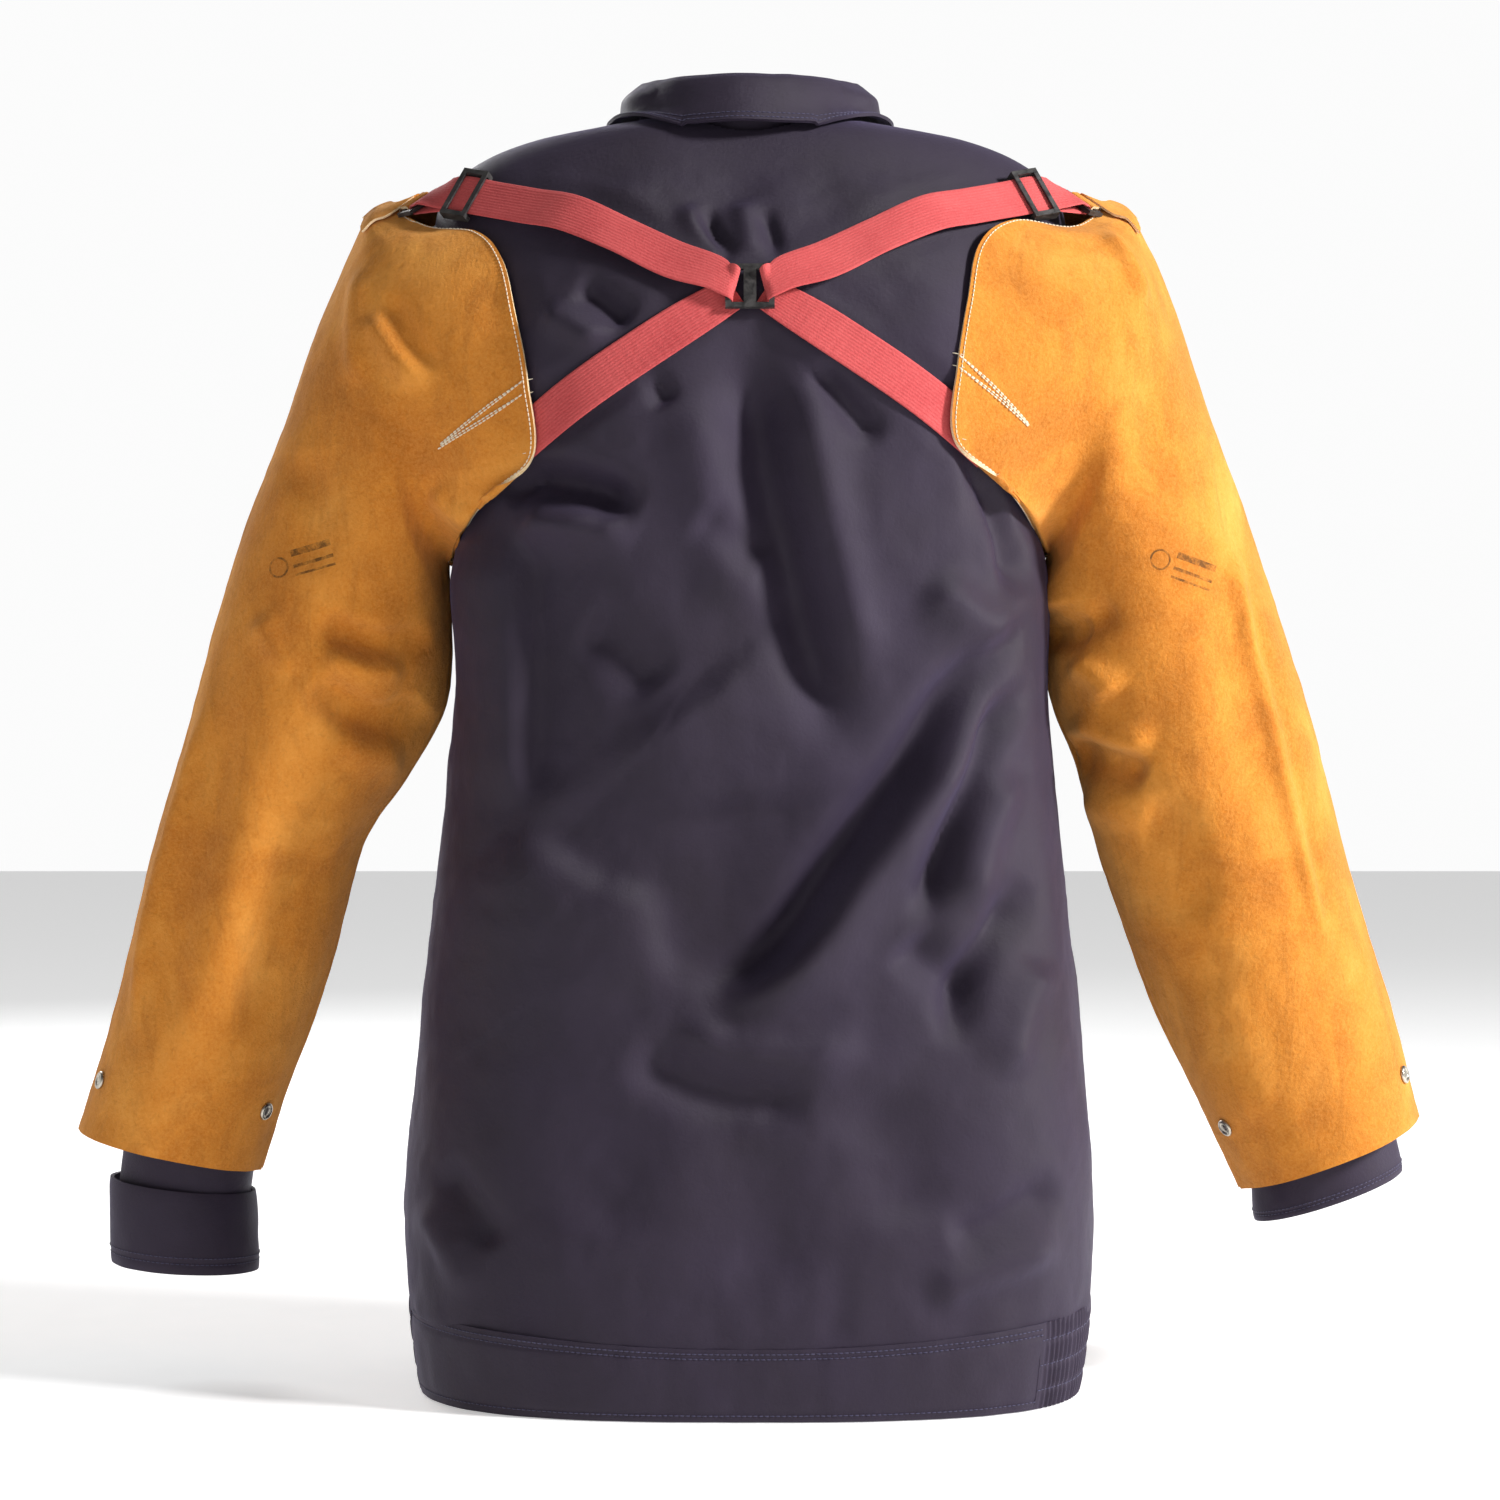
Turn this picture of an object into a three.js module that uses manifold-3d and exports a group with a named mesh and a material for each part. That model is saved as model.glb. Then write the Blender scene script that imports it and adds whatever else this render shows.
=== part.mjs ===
// A welder's jacket: a cotton-drill work jacket with a pair of split-leather sleeves strapped over its arms.
// The sleeves hang from an elastic harness that crosses on the back in a plastic joiner.
// Millimetres. +X is the wearer's left, +Y the wearer's back, +Z up. The hem stands at Z = 0.
import * as THREE from "three";
import { mergeVertices } from "three/addons/utils/BufferGeometryUtils.js";
import Module from "manifold-3d";

const wasm = await Module();
wasm.setup();

// ---------- driving dimensions ----------
const CLOTH = 2; // drill and its facing
const HIDE = 2; // split leather
const GAP = 0.5; // room between neighbouring pieces
const SEAM_GAP = 0.6; // between the two pieces of a sleeve
const AROUND = 40; // points round the torso
const ARM_AROUND = 28; // points round a sleeve
const SQUARENESS = 2.8; // exponent of the torso's section

// Height, half width, depth of the front and depth of the back.
const TORSO = [
  [0, 197, 144, 143],
  [60, 204, 142, 146],
  [130, 205, 140, 145],
  [230, 196, 137, 138],
  [350, 184, 133, 135],
  [450, 173, 130, 140],
  [540, 169, 127, 146],
  [600, 182, 125.1, 143.8],
  [625, 187, 124, 139.5],
  [660, 190, 105, 128],
  [695, 190, 82, 106],
  [718, 182, 66, 90],
  [734, 162, 56, 80],
  [745, 134, 49, 72],
  [752, 100, 43, 64],
  [757, 72, 36, 54],
];
const HEM_HEIGHT = 41.5;
const OPENING_HALF = 4; // from the centre line to a front's edge
const ZIP_CLOSED_TO = 588; // the slider's height
const NECK = { halfWidth: 72, halfDepth: 78, y: -6 };
const COLLAR_RISE = 36;

// Each station of a leather sleeve: outer X and Z, inner X and Z.
const SLEEVE_OUTLINE = {
  left: [
    [234, 694, 182, 492],
    [258, 640, 181, 462],
    [279, 575, 181, 432],
    [307, 500, 187, 402],
    [332, 424, 209, 364],
    [352, 351, 235, 325],
    [370, 278, 256, 258],
    [388, 211, 277, 193],
    [408, 150, 297, 125],
  ],
  right: [
    [232, 694, 180, 500],
    [256, 640, 179, 470],
    [280, 575, 179, 444],
    [306, 500, 182, 412],
    [330, 424, 198, 372],
    [350, 351, 213, 315],
    [370, 278, 238, 250],
    [391, 211, 266, 185],
    [408, 158, 300, 114],
  ],
};
// Half depth and centre Y of those stations.
const SLEEVE_DEPTH = [
  [86, 14],
  [79, 13],
  [73, 12],
  [68, 10],
  [65, 7],
  [63, 2],
  [61, -4],
  [59, -9],
  [57, -14],
];
// The armhole edge of the leather: angle round the arm, then a point near the shoulder and its height off the cloth.
const ARMHOLE_EDGE = [
  [0, 207, 8, 711, 0],
  [12, 204, 28, 708, 0],
  [24, 206, 45, 700, 0],
  [36, 187, 69, 688, 0],
  [50, 160, 90, 684, 5.5],
  [69, 142, 106, 664, 5.5],
  [90, 135, 124, 630, 5.5],
  [112, 129, 133, 590, 5.5],
  [132, 127, 132, 549, 5.5],
  [156, 152, 108, 528, 9],
  [180, 175, 25, 507, 0],
  [206, 160, -85, 518, 9],
  [235, 146, -100, 545, 5],
  [270, 140, -100, 602, 5],
  [303, 148, -78, 660, 5],
  [335, 182, -36, 708, 0],
];
const JACKET_SLEEVE_INSET = 9.8; // from the leather to the drill sleeve inside it
// The drill cuffs: top and bottom ring, each outer X and Z, inner X and Z.
const JACKET_CUFF = {
  left: [
    [391, 122, 302, 112],
    [390, 70, 300, 64],
  ],
  right: [
    [392, 156, 307, 122],
    [399, 126, 308, 94],
  ],
};
const CUFF_DEPTH = [46, -15];

const STRAP = { width: 25, thickness: 1.5 };
const JOINER = { z: 645, halfWidth: 14, halfHeight: 13.5, bar: 3.2, core: 3.6, thickness: 2.4 };
const ADJUSTER = { length: 18, width: 33, bar: 3, room: 0.9, thickness: 1.4 };
const SNAP = { radius: 5.5, cap: 2, post: 2, hole: 2.5 };

const colours = {
  drill: [0x2f2a3a, 0.85, 0],
  leather: [0xd08a35, 0.95, 0],
  webbing: [0xc95356, 0.9, 0],
  black_plastic: [0x1b1b1c, 0.45, 0],
  nickel: [0xb9b6ae, 0.3, 1],
  zip_tape: [0x23202b, 0.9, 0],
};
const materials = Object.fromEntries(
  Object.entries(colours).map(([name, [color, roughness, metalness]]) => [
    name,
    new THREE.MeshStandardMaterial({ color, roughness, metalness }),
  ]),
);

const jacket = new THREE.Group();

function place(name, material, geometry) {
  const mesh = new THREE.Mesh(geometry, materials[material]);
  mesh.name = name;
  jacket.add(mesh);
  return mesh;
}

// ---------- solids ----------
const V = (x, y, z) => new THREE.Vector3(x, y, z);

function geometryFrom(points, faces) {
  const geometry = new THREE.BufferGeometry().setFromPoints(points);
  geometry.setIndex(faces);
  return geometry;
}

// A manifold solid of a closed geometry, turned to face out.
function solid(geometry) {
  const bare = geometry.clone();
  bare.deleteAttribute("normal");
  bare.deleteAttribute("uv");
  const merged = mergeVertices(bare, 1e-4);
  const make = (index) =>
    new wasm.Manifold(
      new wasm.Mesh({ numProp: 3, vertProperties: merged.attributes.position.array, triVerts: index }),
    );
  const index = new Uint32Array(merged.index.array);
  const first = make(index);
  return first.volume() >= 0 ? first : make(index.reverse());
}

function geometryOf(manifold) {
  const mesh = manifold.getMesh();
  const points = [];
  for (let i = 0; i < mesh.numVert; i++) {
    points.push(V(...mesh.vertProperties.subarray(i * mesh.numProp, i * mesh.numProp + 3)));
  }
  return geometryFrom(points, [...mesh.triVerts]);
}

// The largest body of a solid, which drops the slivers that a cut leaves.
function largest(manifold) {
  return manifold.decompose().sort((p, q) => q.volume() - p.volume())[0];
}

// The faces between closed rings of equal count.
function ringFaces(ringCount, count, start = 0) {
  const faces = [];
  for (let i = 0; i < ringCount - 1; i++) {
    for (let j = 0; j < count; j++) {
      const k = (j + 1) % count;
      const [a, b] = [start + i * count + j, start + i * count + k];
      faces.push(a, b, b + count, a, b + count, a + count);
    }
  }
  return faces;
}

// A closed solid through rings, with flat ends.
function loft(rings) {
  const count = rings[0].length;
  const points = rings.flat();
  const faces = ringFaces(rings.length, count);
  const ends = [rings[0], rings.at(-1)].map((ring) =>
    ring.reduce((sum, p) => sum.add(p), V(0, 0, 0)).divideScalar(count),
  );
  const [first, last] = [points.length, points.length + 1];
  points.push(...ends);
  const lastStart = (rings.length - 1) * count;
  for (let j = 0; j < count; j++) {
    const k = (j + 1) % count;
    faces.push(first, k, j, last, lastStart + j, lastStart + k);
  }
  return solid(geometryFrom(points, faces));
}

// The outward normal at each point of a stack of closed rings.
function ringNormals(rings) {
  const count = rings[0].length;
  return rings.map((ring, i) => {
    const centre = ring.reduce((sum, p) => sum.add(p), V(0, 0, 0)).divideScalar(count);
    return ring.map((p, j) => {
      const along = rings[Math.min(i + 1, rings.length - 1)][j].clone().sub(rings[Math.max(i - 1, 0)][j]);
      const across = ring[(j + 1) % count].clone().sub(ring[(j + count - 1) % count]);
      const normal = across.cross(along).normalize();
      return normal.dot(p.clone().sub(centre)) < 0 ? normal.negate() : normal;
    });
  });
}

function offsetRings(rings, distance) {
  const normals = ringNormals(rings);
  return rings.map((ring, i) => ring.map((p, j) => p.clone().addScaledVector(normals[i][j], distance)));
}

// A tube wall between a stack of rings and the same stack moved inwards.
function tubeWall(rings, thickness) {
  const count = rings[0].length;
  const size = rings.length * count;
  const points = [...rings.flat(), ...offsetRings(rings, -thickness).flat()];
  const faces = ringFaces(rings.length, count);
  const inner = ringFaces(rings.length, count, size);
  for (let i = 0; i < inner.length; i += 3) faces.push(inner[i], inner[i + 2], inner[i + 1]);
  for (const [row, flip] of [[0, false], [rings.length - 1, true]]) {
    for (let j = 0; j < count; j++) {
      const k = (j + 1) % count;
      const [a, b] = [row * count + j, row * count + k];
      const quad = flip ? [a, b, b + size, a, b + size, a + size] : [b, a, a + size, b, a + size, b + size];
      faces.push(...quad);
    }
  }
  return solid(geometryFrom(points, faces));
}

// A closed solid between two matching open grids of points.
function between([near, far]) {
  const [rows, columns] = [near.length, near[0].length];
  const size = rows * columns;
  const points = [near, far].flat(2);
  const faces = [];
  const quad = (a, b, c, d) => faces.push(a, b, c, a, c, d);
  for (let i = 0; i < rows - 1; i++) {
    for (let j = 0; j < columns - 1; j++) {
      const a = i * columns + j;
      quad(a, a + columns, a + columns + 1, a + 1);
      quad(size + a, size + a + 1, size + a + columns + 1, size + a + columns);
    }
    const [left, right] = [i * columns, i * columns + columns - 1];
    quad(left, size + left, size + left + columns, left + columns);
    quad(right, right + columns, size + right + columns, size + right);
  }
  for (let j = 0; j < columns - 1; j++) {
    const bottom = (rows - 1) * columns + j;
    quad(j, j + 1, size + j + 1, size + j);
    quad(bottom, size + bottom, size + bottom + 1, bottom + 1);
  }
  return solid(geometryFrom(points, faces));
}

// A thin closed solid on both sides of an open grid of points.
function panel(grid, thickness) {
  const [rows, columns] = [grid.length, grid[0].length];
  const at = (i, j) => grid[Math.min(Math.max(i, 0), rows - 1)][Math.min(Math.max(j, 0), columns - 1)];
  const sides = [1, -1].map((sign) =>
    grid.map((row, i) =>
      row.map((p, j) => {
        const down = at(i + 1, j).clone().sub(at(i - 1, j));
        const across = at(i, j + 1).clone().sub(at(i, j - 1));
        return p.clone().addScaledVector(down.cross(across).normalize(), (sign * thickness) / 2);
      }),
    ),
  );
  return between(sides);
}

// Half of a tube's wall, whose two long edges stay just clear of the other half.
function halfWall(rings, thickness, from, to) {
  const sheets = [rings, offsetRings(rings, -thickness)].map((stack) =>
    stack.map((ring) => {
      const row = [];
      for (let j = from; j <= to; j++) row.push(ring[j % ring.length].clone());
      const pull = (p, q) => q.clone().sub(p).setLength(SEAM_GAP / 2);
      const pulls = [pull(row[0], row[1]), pull(row.at(-1), row.at(-2))];
      row[0].add(pulls[0]);
      row.at(-1).add(pulls[1]);
      return row;
    }),
  );
  return between(sheets);
}

function box(low, high) {
  const size = high.map((h, i) => h - low[i]);
  const centre = high.map((h, i) => (h + low[i]) / 2);
  return solid(new THREE.BoxGeometry(...size).translate(...centre));
}

// A box in the local frame of three unit vectors at a point.
function framedBox(frame, low, high) {
  const size = high.map((h, i) => h - low[i]);
  const centre = high.map((h, i) => (h + low[i]) / 2);
  const geometry = new THREE.BoxGeometry(...size).translate(...centre);
  const matrix = new THREE.Matrix4().makeBasis(frame.along, frame.across, frame.up).setPosition(frame.at);
  return solid(geometry.applyMatrix4(matrix));
}

function join(parts) {
  return parts.reduce((sum, part) => sum.add(part));
}

// ---------- the torso's surface ----------
// Each column of a table at a height, smooth between the rows.
function profile(table, z) {
  const last = table.length - 1;
  let i = 0;
  while (i < last - 1 && z > table[i + 1][0]) i++;
  const slope = (k, c) => {
    const [low, high] = [table[Math.max(k - 1, 0)], table[Math.min(k + 1, last)]];
    return (high[c] - low[c]) / (high[0] - low[0]);
  };
  const [p, q] = [table[i], table[i + 1]];
  const h = q[0] - p[0];
  const t = (z - p[0]) / h;
  return p.slice(1).map((value, k) => {
    const c = k + 1;
    return (
      value * (2 * t ** 3 - 3 * t ** 2 + 1) +
      q[c] * (3 * t ** 2 - 2 * t ** 3) +
      h * slope(i, c) * (t ** 3 - 2 * t ** 2 + t) +
      h * slope(i + 1, c) * (t ** 3 - t ** 2)
    );
  });
}

function torsoPoint(angle, z) {
  const [halfWidth, front, back] = profile(TORSO, z);
  const [c, s] = [Math.cos(angle), Math.sin(angle)];
  const depth = s > 0 ? back : front;
  const reach = (Math.abs(c) / halfWidth) ** SQUARENESS + (Math.abs(s) / depth) ** SQUARENESS;
  const r = reach ** (-1 / SQUARENESS);
  return V(r * c, r * s, z);
}

function torsoRings(heights) {
  return heights.map((z) =>
    Array.from({ length: AROUND }, (_, j) => torsoPoint((2 * Math.PI * j) / AROUND, z)),
  );
}

// How far outside the torso a point is, as a share of the section's size.
function outside(p) {
  const [halfWidth, front, back] = profile(TORSO, Math.min(p.z, TORSO.at(-1)[0]));
  const depth = p.y > 0 ? back : front;
  return ((Math.abs(p.x) / halfWidth) ** SQUARENESS + (Math.abs(p.y) / depth) ** SQUARENESS) ** (1 / SQUARENESS) - 1;
}

function outward(p) {
  const step = 0.5;
  const slopes = ["x", "y", "z"].map((axis) => {
    const [high, low] = [p.clone(), p.clone()];
    high[axis] += step;
    low[axis] -= step;
    return (outside(high) - outside(low)) / (2 * step);
  });
  return V(...slopes);
}

// The point on the torso nearest to p, lifted off it, with the surface's normal there.
function onTorso(p, lift) {
  const q = p.clone();
  for (let i = 0; i < 8; i++) {
    const gradient = outward(q);
    q.addScaledVector(gradient, -outside(q) / gradient.lengthSq());
  }
  const normal = outward(q).normalize();
  return { point: q.addScaledVector(normal, lift), normal };
}

// ---------- drill body ----------
const torsoHeights = [0, 42, 90, 150, 230, 310, 390, 460, 520, 570, 600, 625, 645, 663, 682, 702, 720, 735, 745, 752, 757];
const torsoOuter = loft(torsoRings(torsoHeights));
const innerRings = offsetRings(torsoRings(torsoHeights), -CLOTH);
innerRings[0].forEach((p) => (p.z = -10));
const neckCut = solid(
  new THREE.CylinderGeometry(1, 1, 200, 40)
    .rotateX(Math.PI / 2)
    .scale(NECK.halfWidth, NECK.halfDepth, 1)
    .translate(0, NECK.y, 770),
);
const torsoGrown = loft(offsetRings(torsoRings(torsoHeights), GAP));

function armRings(side, inset) {
  const sign = side === "left" ? 1 : -1;
  return SLEEVE_OUTLINE[side].map(([outerX, outerZ, innerX, innerZ], i) => {
    const outer = V(outerX, 0, outerZ);
    const inner = V(innerX, 0, innerZ);
    const [halfDepth, y] = SLEEVE_DEPTH[i] ?? CUFF_DEPTH;
    const centre = outer.clone().add(inner).multiplyScalar(0.5).setY(y);
    const half = outer.clone().sub(inner).multiplyScalar(0.5);
    half.setLength(half.length() - inset);
    return armRing(centre, half, halfDepth - inset, sign);
  });
}

function armRing(centre, half, halfDepth, sign) {
  return Array.from({ length: ARM_AROUND }, (_, j) => {
    const angle = (2 * Math.PI * j) / ARM_AROUND;
    const p = centre.clone().addScaledVector(half, Math.cos(angle));
    p.y += halfDepth * Math.sin(angle);
    p.x *= sign;
    return p;
  });
}

// The drill sleeve starts inside the torso and ends under the cuff.
function jacketSleeveRings(side, inset) {
  const sign = side === "left" ? 1 : -1;
  const root = armRing(V(150, 10, 628), V(0, 0, 66 - inset), 62 - inset, sign);
  const mid = armRing(V(186, 12, 618), V(8, 0, 74 - inset), 68 - inset, sign);
  const rings = armRings(side, JACKET_SLEEVE_INSET + inset).slice(0, -1);
  const [[outerX, outerZ, innerX, innerZ]] = JACKET_CUFF[side];
  const centre = V((outerX + innerX) / 2, CUFF_DEPTH[1], (outerZ + innerZ) / 2 + 1.5);
  const half = V((outerX - innerX) / 2, 0, (outerZ - innerZ) / 2);
  half.setLength(half.length() - 2 - inset);
  return [root, mid, ...rings, armRing(centre, half, CUFF_DEPTH[0] - 2 - inset, sign)];
}

// A sleeve is two pieces, which meet along its outer and its inner line.
const SLEEVE_HALVES = { back: [0, ARM_AROUND / 2], front: [ARM_AROUND / 2, ARM_AROUND] };

for (const side of ["left", "right"]) {
  const rings = jacketSleeveRings(side, 0);
  for (const [half, [from, to]] of Object.entries(SLEEVE_HALVES)) {
    const wall = halfWall(rings, CLOTH, from, to).subtract(torsoGrown);
    place(`${side}_jacket_sleeve_${half}`, "drill", geometryOf(largest(wall)));
  }
  const cuffRings = JACKET_CUFF[side].map(([outerX, outerZ, innerX, innerZ]) => {
    const centre = V((outerX + innerX) / 2, CUFF_DEPTH[1], (outerZ + innerZ) / 2);
    const half = V((outerX - innerX) / 2, 0, (outerZ - innerZ) / 2);
    return armRing(centre, half, CUFF_DEPTH[0], side === "left" ? 1 : -1);
  });
  place(`${side}_jacket_cuff`, "drill", geometryOf(tubeWall(cuffRings, 2.5)));
}

const armholes = ["left", "right"].map((side) => loft(jacketSleeveRings(side, -GAP)));
const shell = torsoOuter.subtract(loft(innerRings)).subtract(neckCut).subtract(armholes[0]).subtract(armholes[1]);
const bodyShell = shell.intersect(box([-500, -500, HEM_HEIGHT + GAP], [500, 500, 900]));
place("back_panel", "drill", geometryOf(largest(bodyShell.intersect(box([-500, 0.25, 0], [500, 500, 900])))));

// The fronts part in a narrow V above the closed zip.
const vee = new THREE.Shape([
  new THREE.Vector2(-OPENING_HALF, -50),
  new THREE.Vector2(OPENING_HALF, -50),
  new THREE.Vector2(OPENING_HALF, ZIP_CLOSED_TO),
  new THREE.Vector2(20, 800),
  new THREE.Vector2(-20, 800),
  new THREE.Vector2(-OPENING_HALF, ZIP_CLOSED_TO),
]);
const opening = solid(
  new THREE.ExtrudeGeometry(vee, { depth: 300, bevelEnabled: false }).rotateX(Math.PI / 2),
);
for (const [side, sign] of [["left", 1], ["right", -1]]) {
  const half = box([Math.min(0, sign * 500), -500, 0], [Math.max(0, sign * 500), -0.25, 900]);
  const front = bodyShell.intersect(half).subtract(opening);
  place(`${side}_front_panel`, "drill", geometryOf(largest(front)));
}

// ---------- hem band, with an elastic run at each side ----------
const hemRings = offsetRings(torsoRings([0, 20, HEM_HEIGHT]), 0.6);
hemRings[0].forEach((p) => (p.z = -10));
hemRings[2].forEach((p) => (p.z = HEM_HEIGHT + 10));
const hemWall = tubeWall(hemRings, 2.8).subtract(opening).intersect(box([-500, -500, 0], [500, 500, HEM_HEIGHT]));
function wedge(fromDegrees, toDegrees) {
  const steps = 8;
  const shape = new THREE.Shape([new THREE.Vector2(0, 0)]);
  for (let i = 0; i <= steps; i++) {
    const angle = THREE.MathUtils.degToRad(fromDegrees + ((toDegrees - fromDegrees) * i) / steps);
    shape.lineTo(400 * Math.cos(angle), 400 * Math.sin(angle));
  }
  return solid(new THREE.ExtrudeGeometry(shape, { depth: 60, bevelEnabled: false }).translate(0, 0, -5));
}
const HEM_RUNS = {
  hem_elastic_left: [-32, 12],
  hem_band_back: [12.15, 147.85],
  hem_elastic_right: [148, 212],
  hem_band_front_right: [212.15, 270],
  hem_band_front_left: [270, 327.85],
};
for (const [name, [from, to]] of Object.entries(HEM_RUNS)) {
  place(name, "drill", geometryOf(largest(hemWall.intersect(wedge(from, to)))));
}

// ---------- collar ----------
const COLLAR_STEPS = 26;
const FRONT_GAP = THREE.MathUtils.degToRad(11);
// The neck's seam height: high at the back and sides, low at the front.
function seamHeight(angle) {
  const s = Math.sin(angle);
  return s > 0 ? 748 - 6 * s : 748 - 62 * Math.abs(s) ** 1.7;
}
function collarRow(halfWidth, halfDepth, y, rise, drop = 0) {
  return Array.from({ length: COLLAR_STEPS + 1 }, (_, j) => {
    const share = j / COLLAR_STEPS;
    const angle = -Math.PI / 2 + FRONT_GAP + share * (2 * Math.PI - 2 * FRONT_GAP);
    const forward = Math.max(0, -Math.sin(angle)) ** 3;
    return V(
      halfWidth * Math.cos(angle),
      y + halfDepth * Math.sin(angle),
      seamHeight(angle) + rise - drop * forward,
    );
  });
}
// Lifts a row clear of the torso.
const clearOf = (row, lift) =>
  row.map((p) => {
    const gradient = outward(p);
    return outside(p) / gradient.length() < lift ? onTorso(p, lift).point : p;
  });
const stand = [
  collarRow(70, 76, NECK.y, -5),
  collarRow(68, 73, NECK.y, 12),
  collarRow(64, 69, NECK.y, COLLAR_RISE - 3),
];
place("collar_stand", "drill", geometryOf(panel(stand, 1.6)));
const fall = [
  collarRow(66.5, 71.5, NECK.y, COLLAR_RISE, 2),
  collarRow(70.5, 76, NECK.y, COLLAR_RISE - 3, 4),
  clearOf(collarRow(75, 81, NECK.y, 26, 8), 5),
  clearOf(collarRow(80, 86, NECK.y, 16, 16), 5),
  clearOf(collarRow(86, 92, NECK.y, 6, 26), 5),
];
place("collar_fall", "drill", geometryOf(panel(fall, 2)));

// The loop that a coat hook takes, sewn inside the back of the stand.
const loopSteps = 8;
const LOOP = { halfSpan: 27, height: 756, root: 60.6, bow: 9 };
const loopGrid = Array.from({ length: loopSteps + 1 }, (_, i) => {
  const share = (2 * i) / loopSteps - 1;
  const x = LOOP.halfSpan * share;
  const y = LOOP.root - LOOP.bow * (1 - share ** 4) - Math.abs(x) * 0.09;
  return [V(x, y, LOOP.height - 3), V(x, y, LOOP.height + 3)];
});
place("hanger_loop", "drill", geometryOf(panel(loopGrid, 1.4)));

// ---------- front zip ----------
const frontY = (z) => -profile(TORSO, z)[1];
// The line that the slider runs down.
const zipLine = (z) => -142 + 0.03125 * (z - 60);
// A strip that follows the front, between two offsets from the centre line and at a depth behind the surface.
function frontStrip(edgeNear, edgeFar, depth, heights) {
  return heights.map((z) => [edgeNear(z), edgeFar(z)].map((x) => V(x, frontY(z) + depth, z)));
}
const parting = (z) => Math.max(0, ((z - ZIP_CLOSED_TO) / (800 - ZIP_CLOSED_TO)) * 16);
const tapeHeights = [46, 150, 310, 460, 570, 600, 625, 645, 663, 674];
for (const [side, sign] of [["left", 1], ["right", -1]]) {
  const tape = frontStrip(
    (z) => sign * (3.4 + parting(z)),
    (z) => sign * (17 + parting(z)),
    4.2,
    tapeHeights,
  );
  place(`${side}_zip_tape`, "zip_tape", geometryOf(panel(tape, 1)));
  const teeth = frontStrip(
    (z) => sign * (0.4 + parting(z)),
    (z) => sign * (3.2 + parting(z)),
    1.6,
    [ZIP_CLOSED_TO + 14, 625, 645, 663, 674],
  );
  place(`${side}_zip_teeth_open`, "nickel", geometryOf(panel(teeth, 2.4)));
}
const chainHeights = [50, 150, 250, 350, 450, 540, 570, ZIP_CLOSED_TO + 12];
place("zip_teeth_closed", "nickel", geometryOf(panel(frontStrip(() => -3, () => 3, 1.6, chainHeights), 2.4)));
place(
  "zip_bottom_stop",
  "nickel",
  geometryOf(box([-3.6, frontY(46) - 0.2, 43.5], [3.6, frontY(46) + 3, 48.5])),
);

const SLIDER = { halfWidth: 5.5, length: 13, thickness: 2.2 };
const sliderY = zipLine(ZIP_CLOSED_TO) - 0.7;
function zipSlider() {
  const low = ZIP_CLOSED_TO - 6;
  const [near, far] = [sliderY - SLIDER.thickness, sliderY];
  const plate = box([-SLIDER.halfWidth, near, low], [SLIDER.halfWidth, far, low + SLIDER.length]);
  const bridge = box([-1.4, near - 5, low + 2], [1.4, near + 0.5, low + SLIDER.length - 2]);
  const eye = box([-3, near - 3, low + 4], [3, near - 0.2, low + SLIDER.length - 4]);
  return plate.add(bridge).subtract(eye);
}
place("zip_slider", "nickel", geometryOf(zipSlider()));

function pullTab() {
  const [y, top] = [sliderY - SLIDER.thickness - 1.6, ZIP_CLOSED_TO - 2.4];
  const shape = new THREE.Shape();
  shape.absarc(0, -24, 4, Math.PI, 2 * Math.PI, false);
  shape.lineTo(4.4, 4);
  shape.lineTo(-4.4, 4);
  const hole = new THREE.Path([
    new THREE.Vector2(-2, -6),
    new THREE.Vector2(2, -6),
    new THREE.Vector2(2, 1.6),
    new THREE.Vector2(-2, 1.6),
  ]);
  shape.holes.push(hole);
  const plate = new THREE.ExtrudeGeometry(shape, { depth: 1.2, bevelEnabled: false, curveSegments: 8 })
    .rotateX(Math.PI / 2)
    .translate(0, y + 0.6, top);
  return solid(plate);
}
place("zip_pull_tab", "nickel", geometryOf(pullTab()));

// ---------- chest pockets ----------
const POCKET = { near: 36, far: 126, bottom: 455, top: 578, flapTop: 592, flapBottom: 546 };
function chestGrid(sign, near, far, low, high, lift, columns = 7, rows = 4) {
  return Array.from({ length: rows }, (_, i) => {
    const z = high - ((high - low) * i) / (rows - 1);
    return Array.from({ length: columns }, (_, j) => {
      const x = near + ((far - near) * j) / (columns - 1);
      const { point } = onTorso(V(x, -130, z), lift);
      return V(sign * point.x, point.y, point.z);
    });
  });
}
// A straight-topped flap, so that it can turn about one line.
const FLAP_LIFT = 5;
const flapTopY = onTorso(V(POCKET.near, -130, POCKET.flapTop), FLAP_LIFT).point.y;
for (const [side, sign] of [["left", 1], ["right", -1]]) {
  const patch = chestGrid(sign, POCKET.near, POCKET.far, POCKET.bottom, POCKET.top, 1.6);
  place(`${side}_chest_pocket`, "drill", geometryOf(panel(patch, 1.2)));
  const flap = chestGrid(sign, POCKET.near - 2, POCKET.far + 2, POCKET.flapBottom, POCKET.flapTop, FLAP_LIFT, 7, 3);
  place(`${side}_pocket_flap`, "drill", geometryOf(panel(flap, 1.6)));
  const middle = onTorso(V((POCKET.near + POCKET.far) / 2, -130, POCKET.flapBottom + 14), FLAP_LIFT + 1.2);
  place(`${side}_flap_snap`, "nickel", snapCap(mirrored(middle, sign), 0, false));
}

// ---------- snap fasteners ----------
function mirrored({ point, normal }, sign) {
  return { point: V(sign * point.x, point.y, point.z), normal: V(sign * normal.x, normal.y, normal.z) };
}

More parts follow.
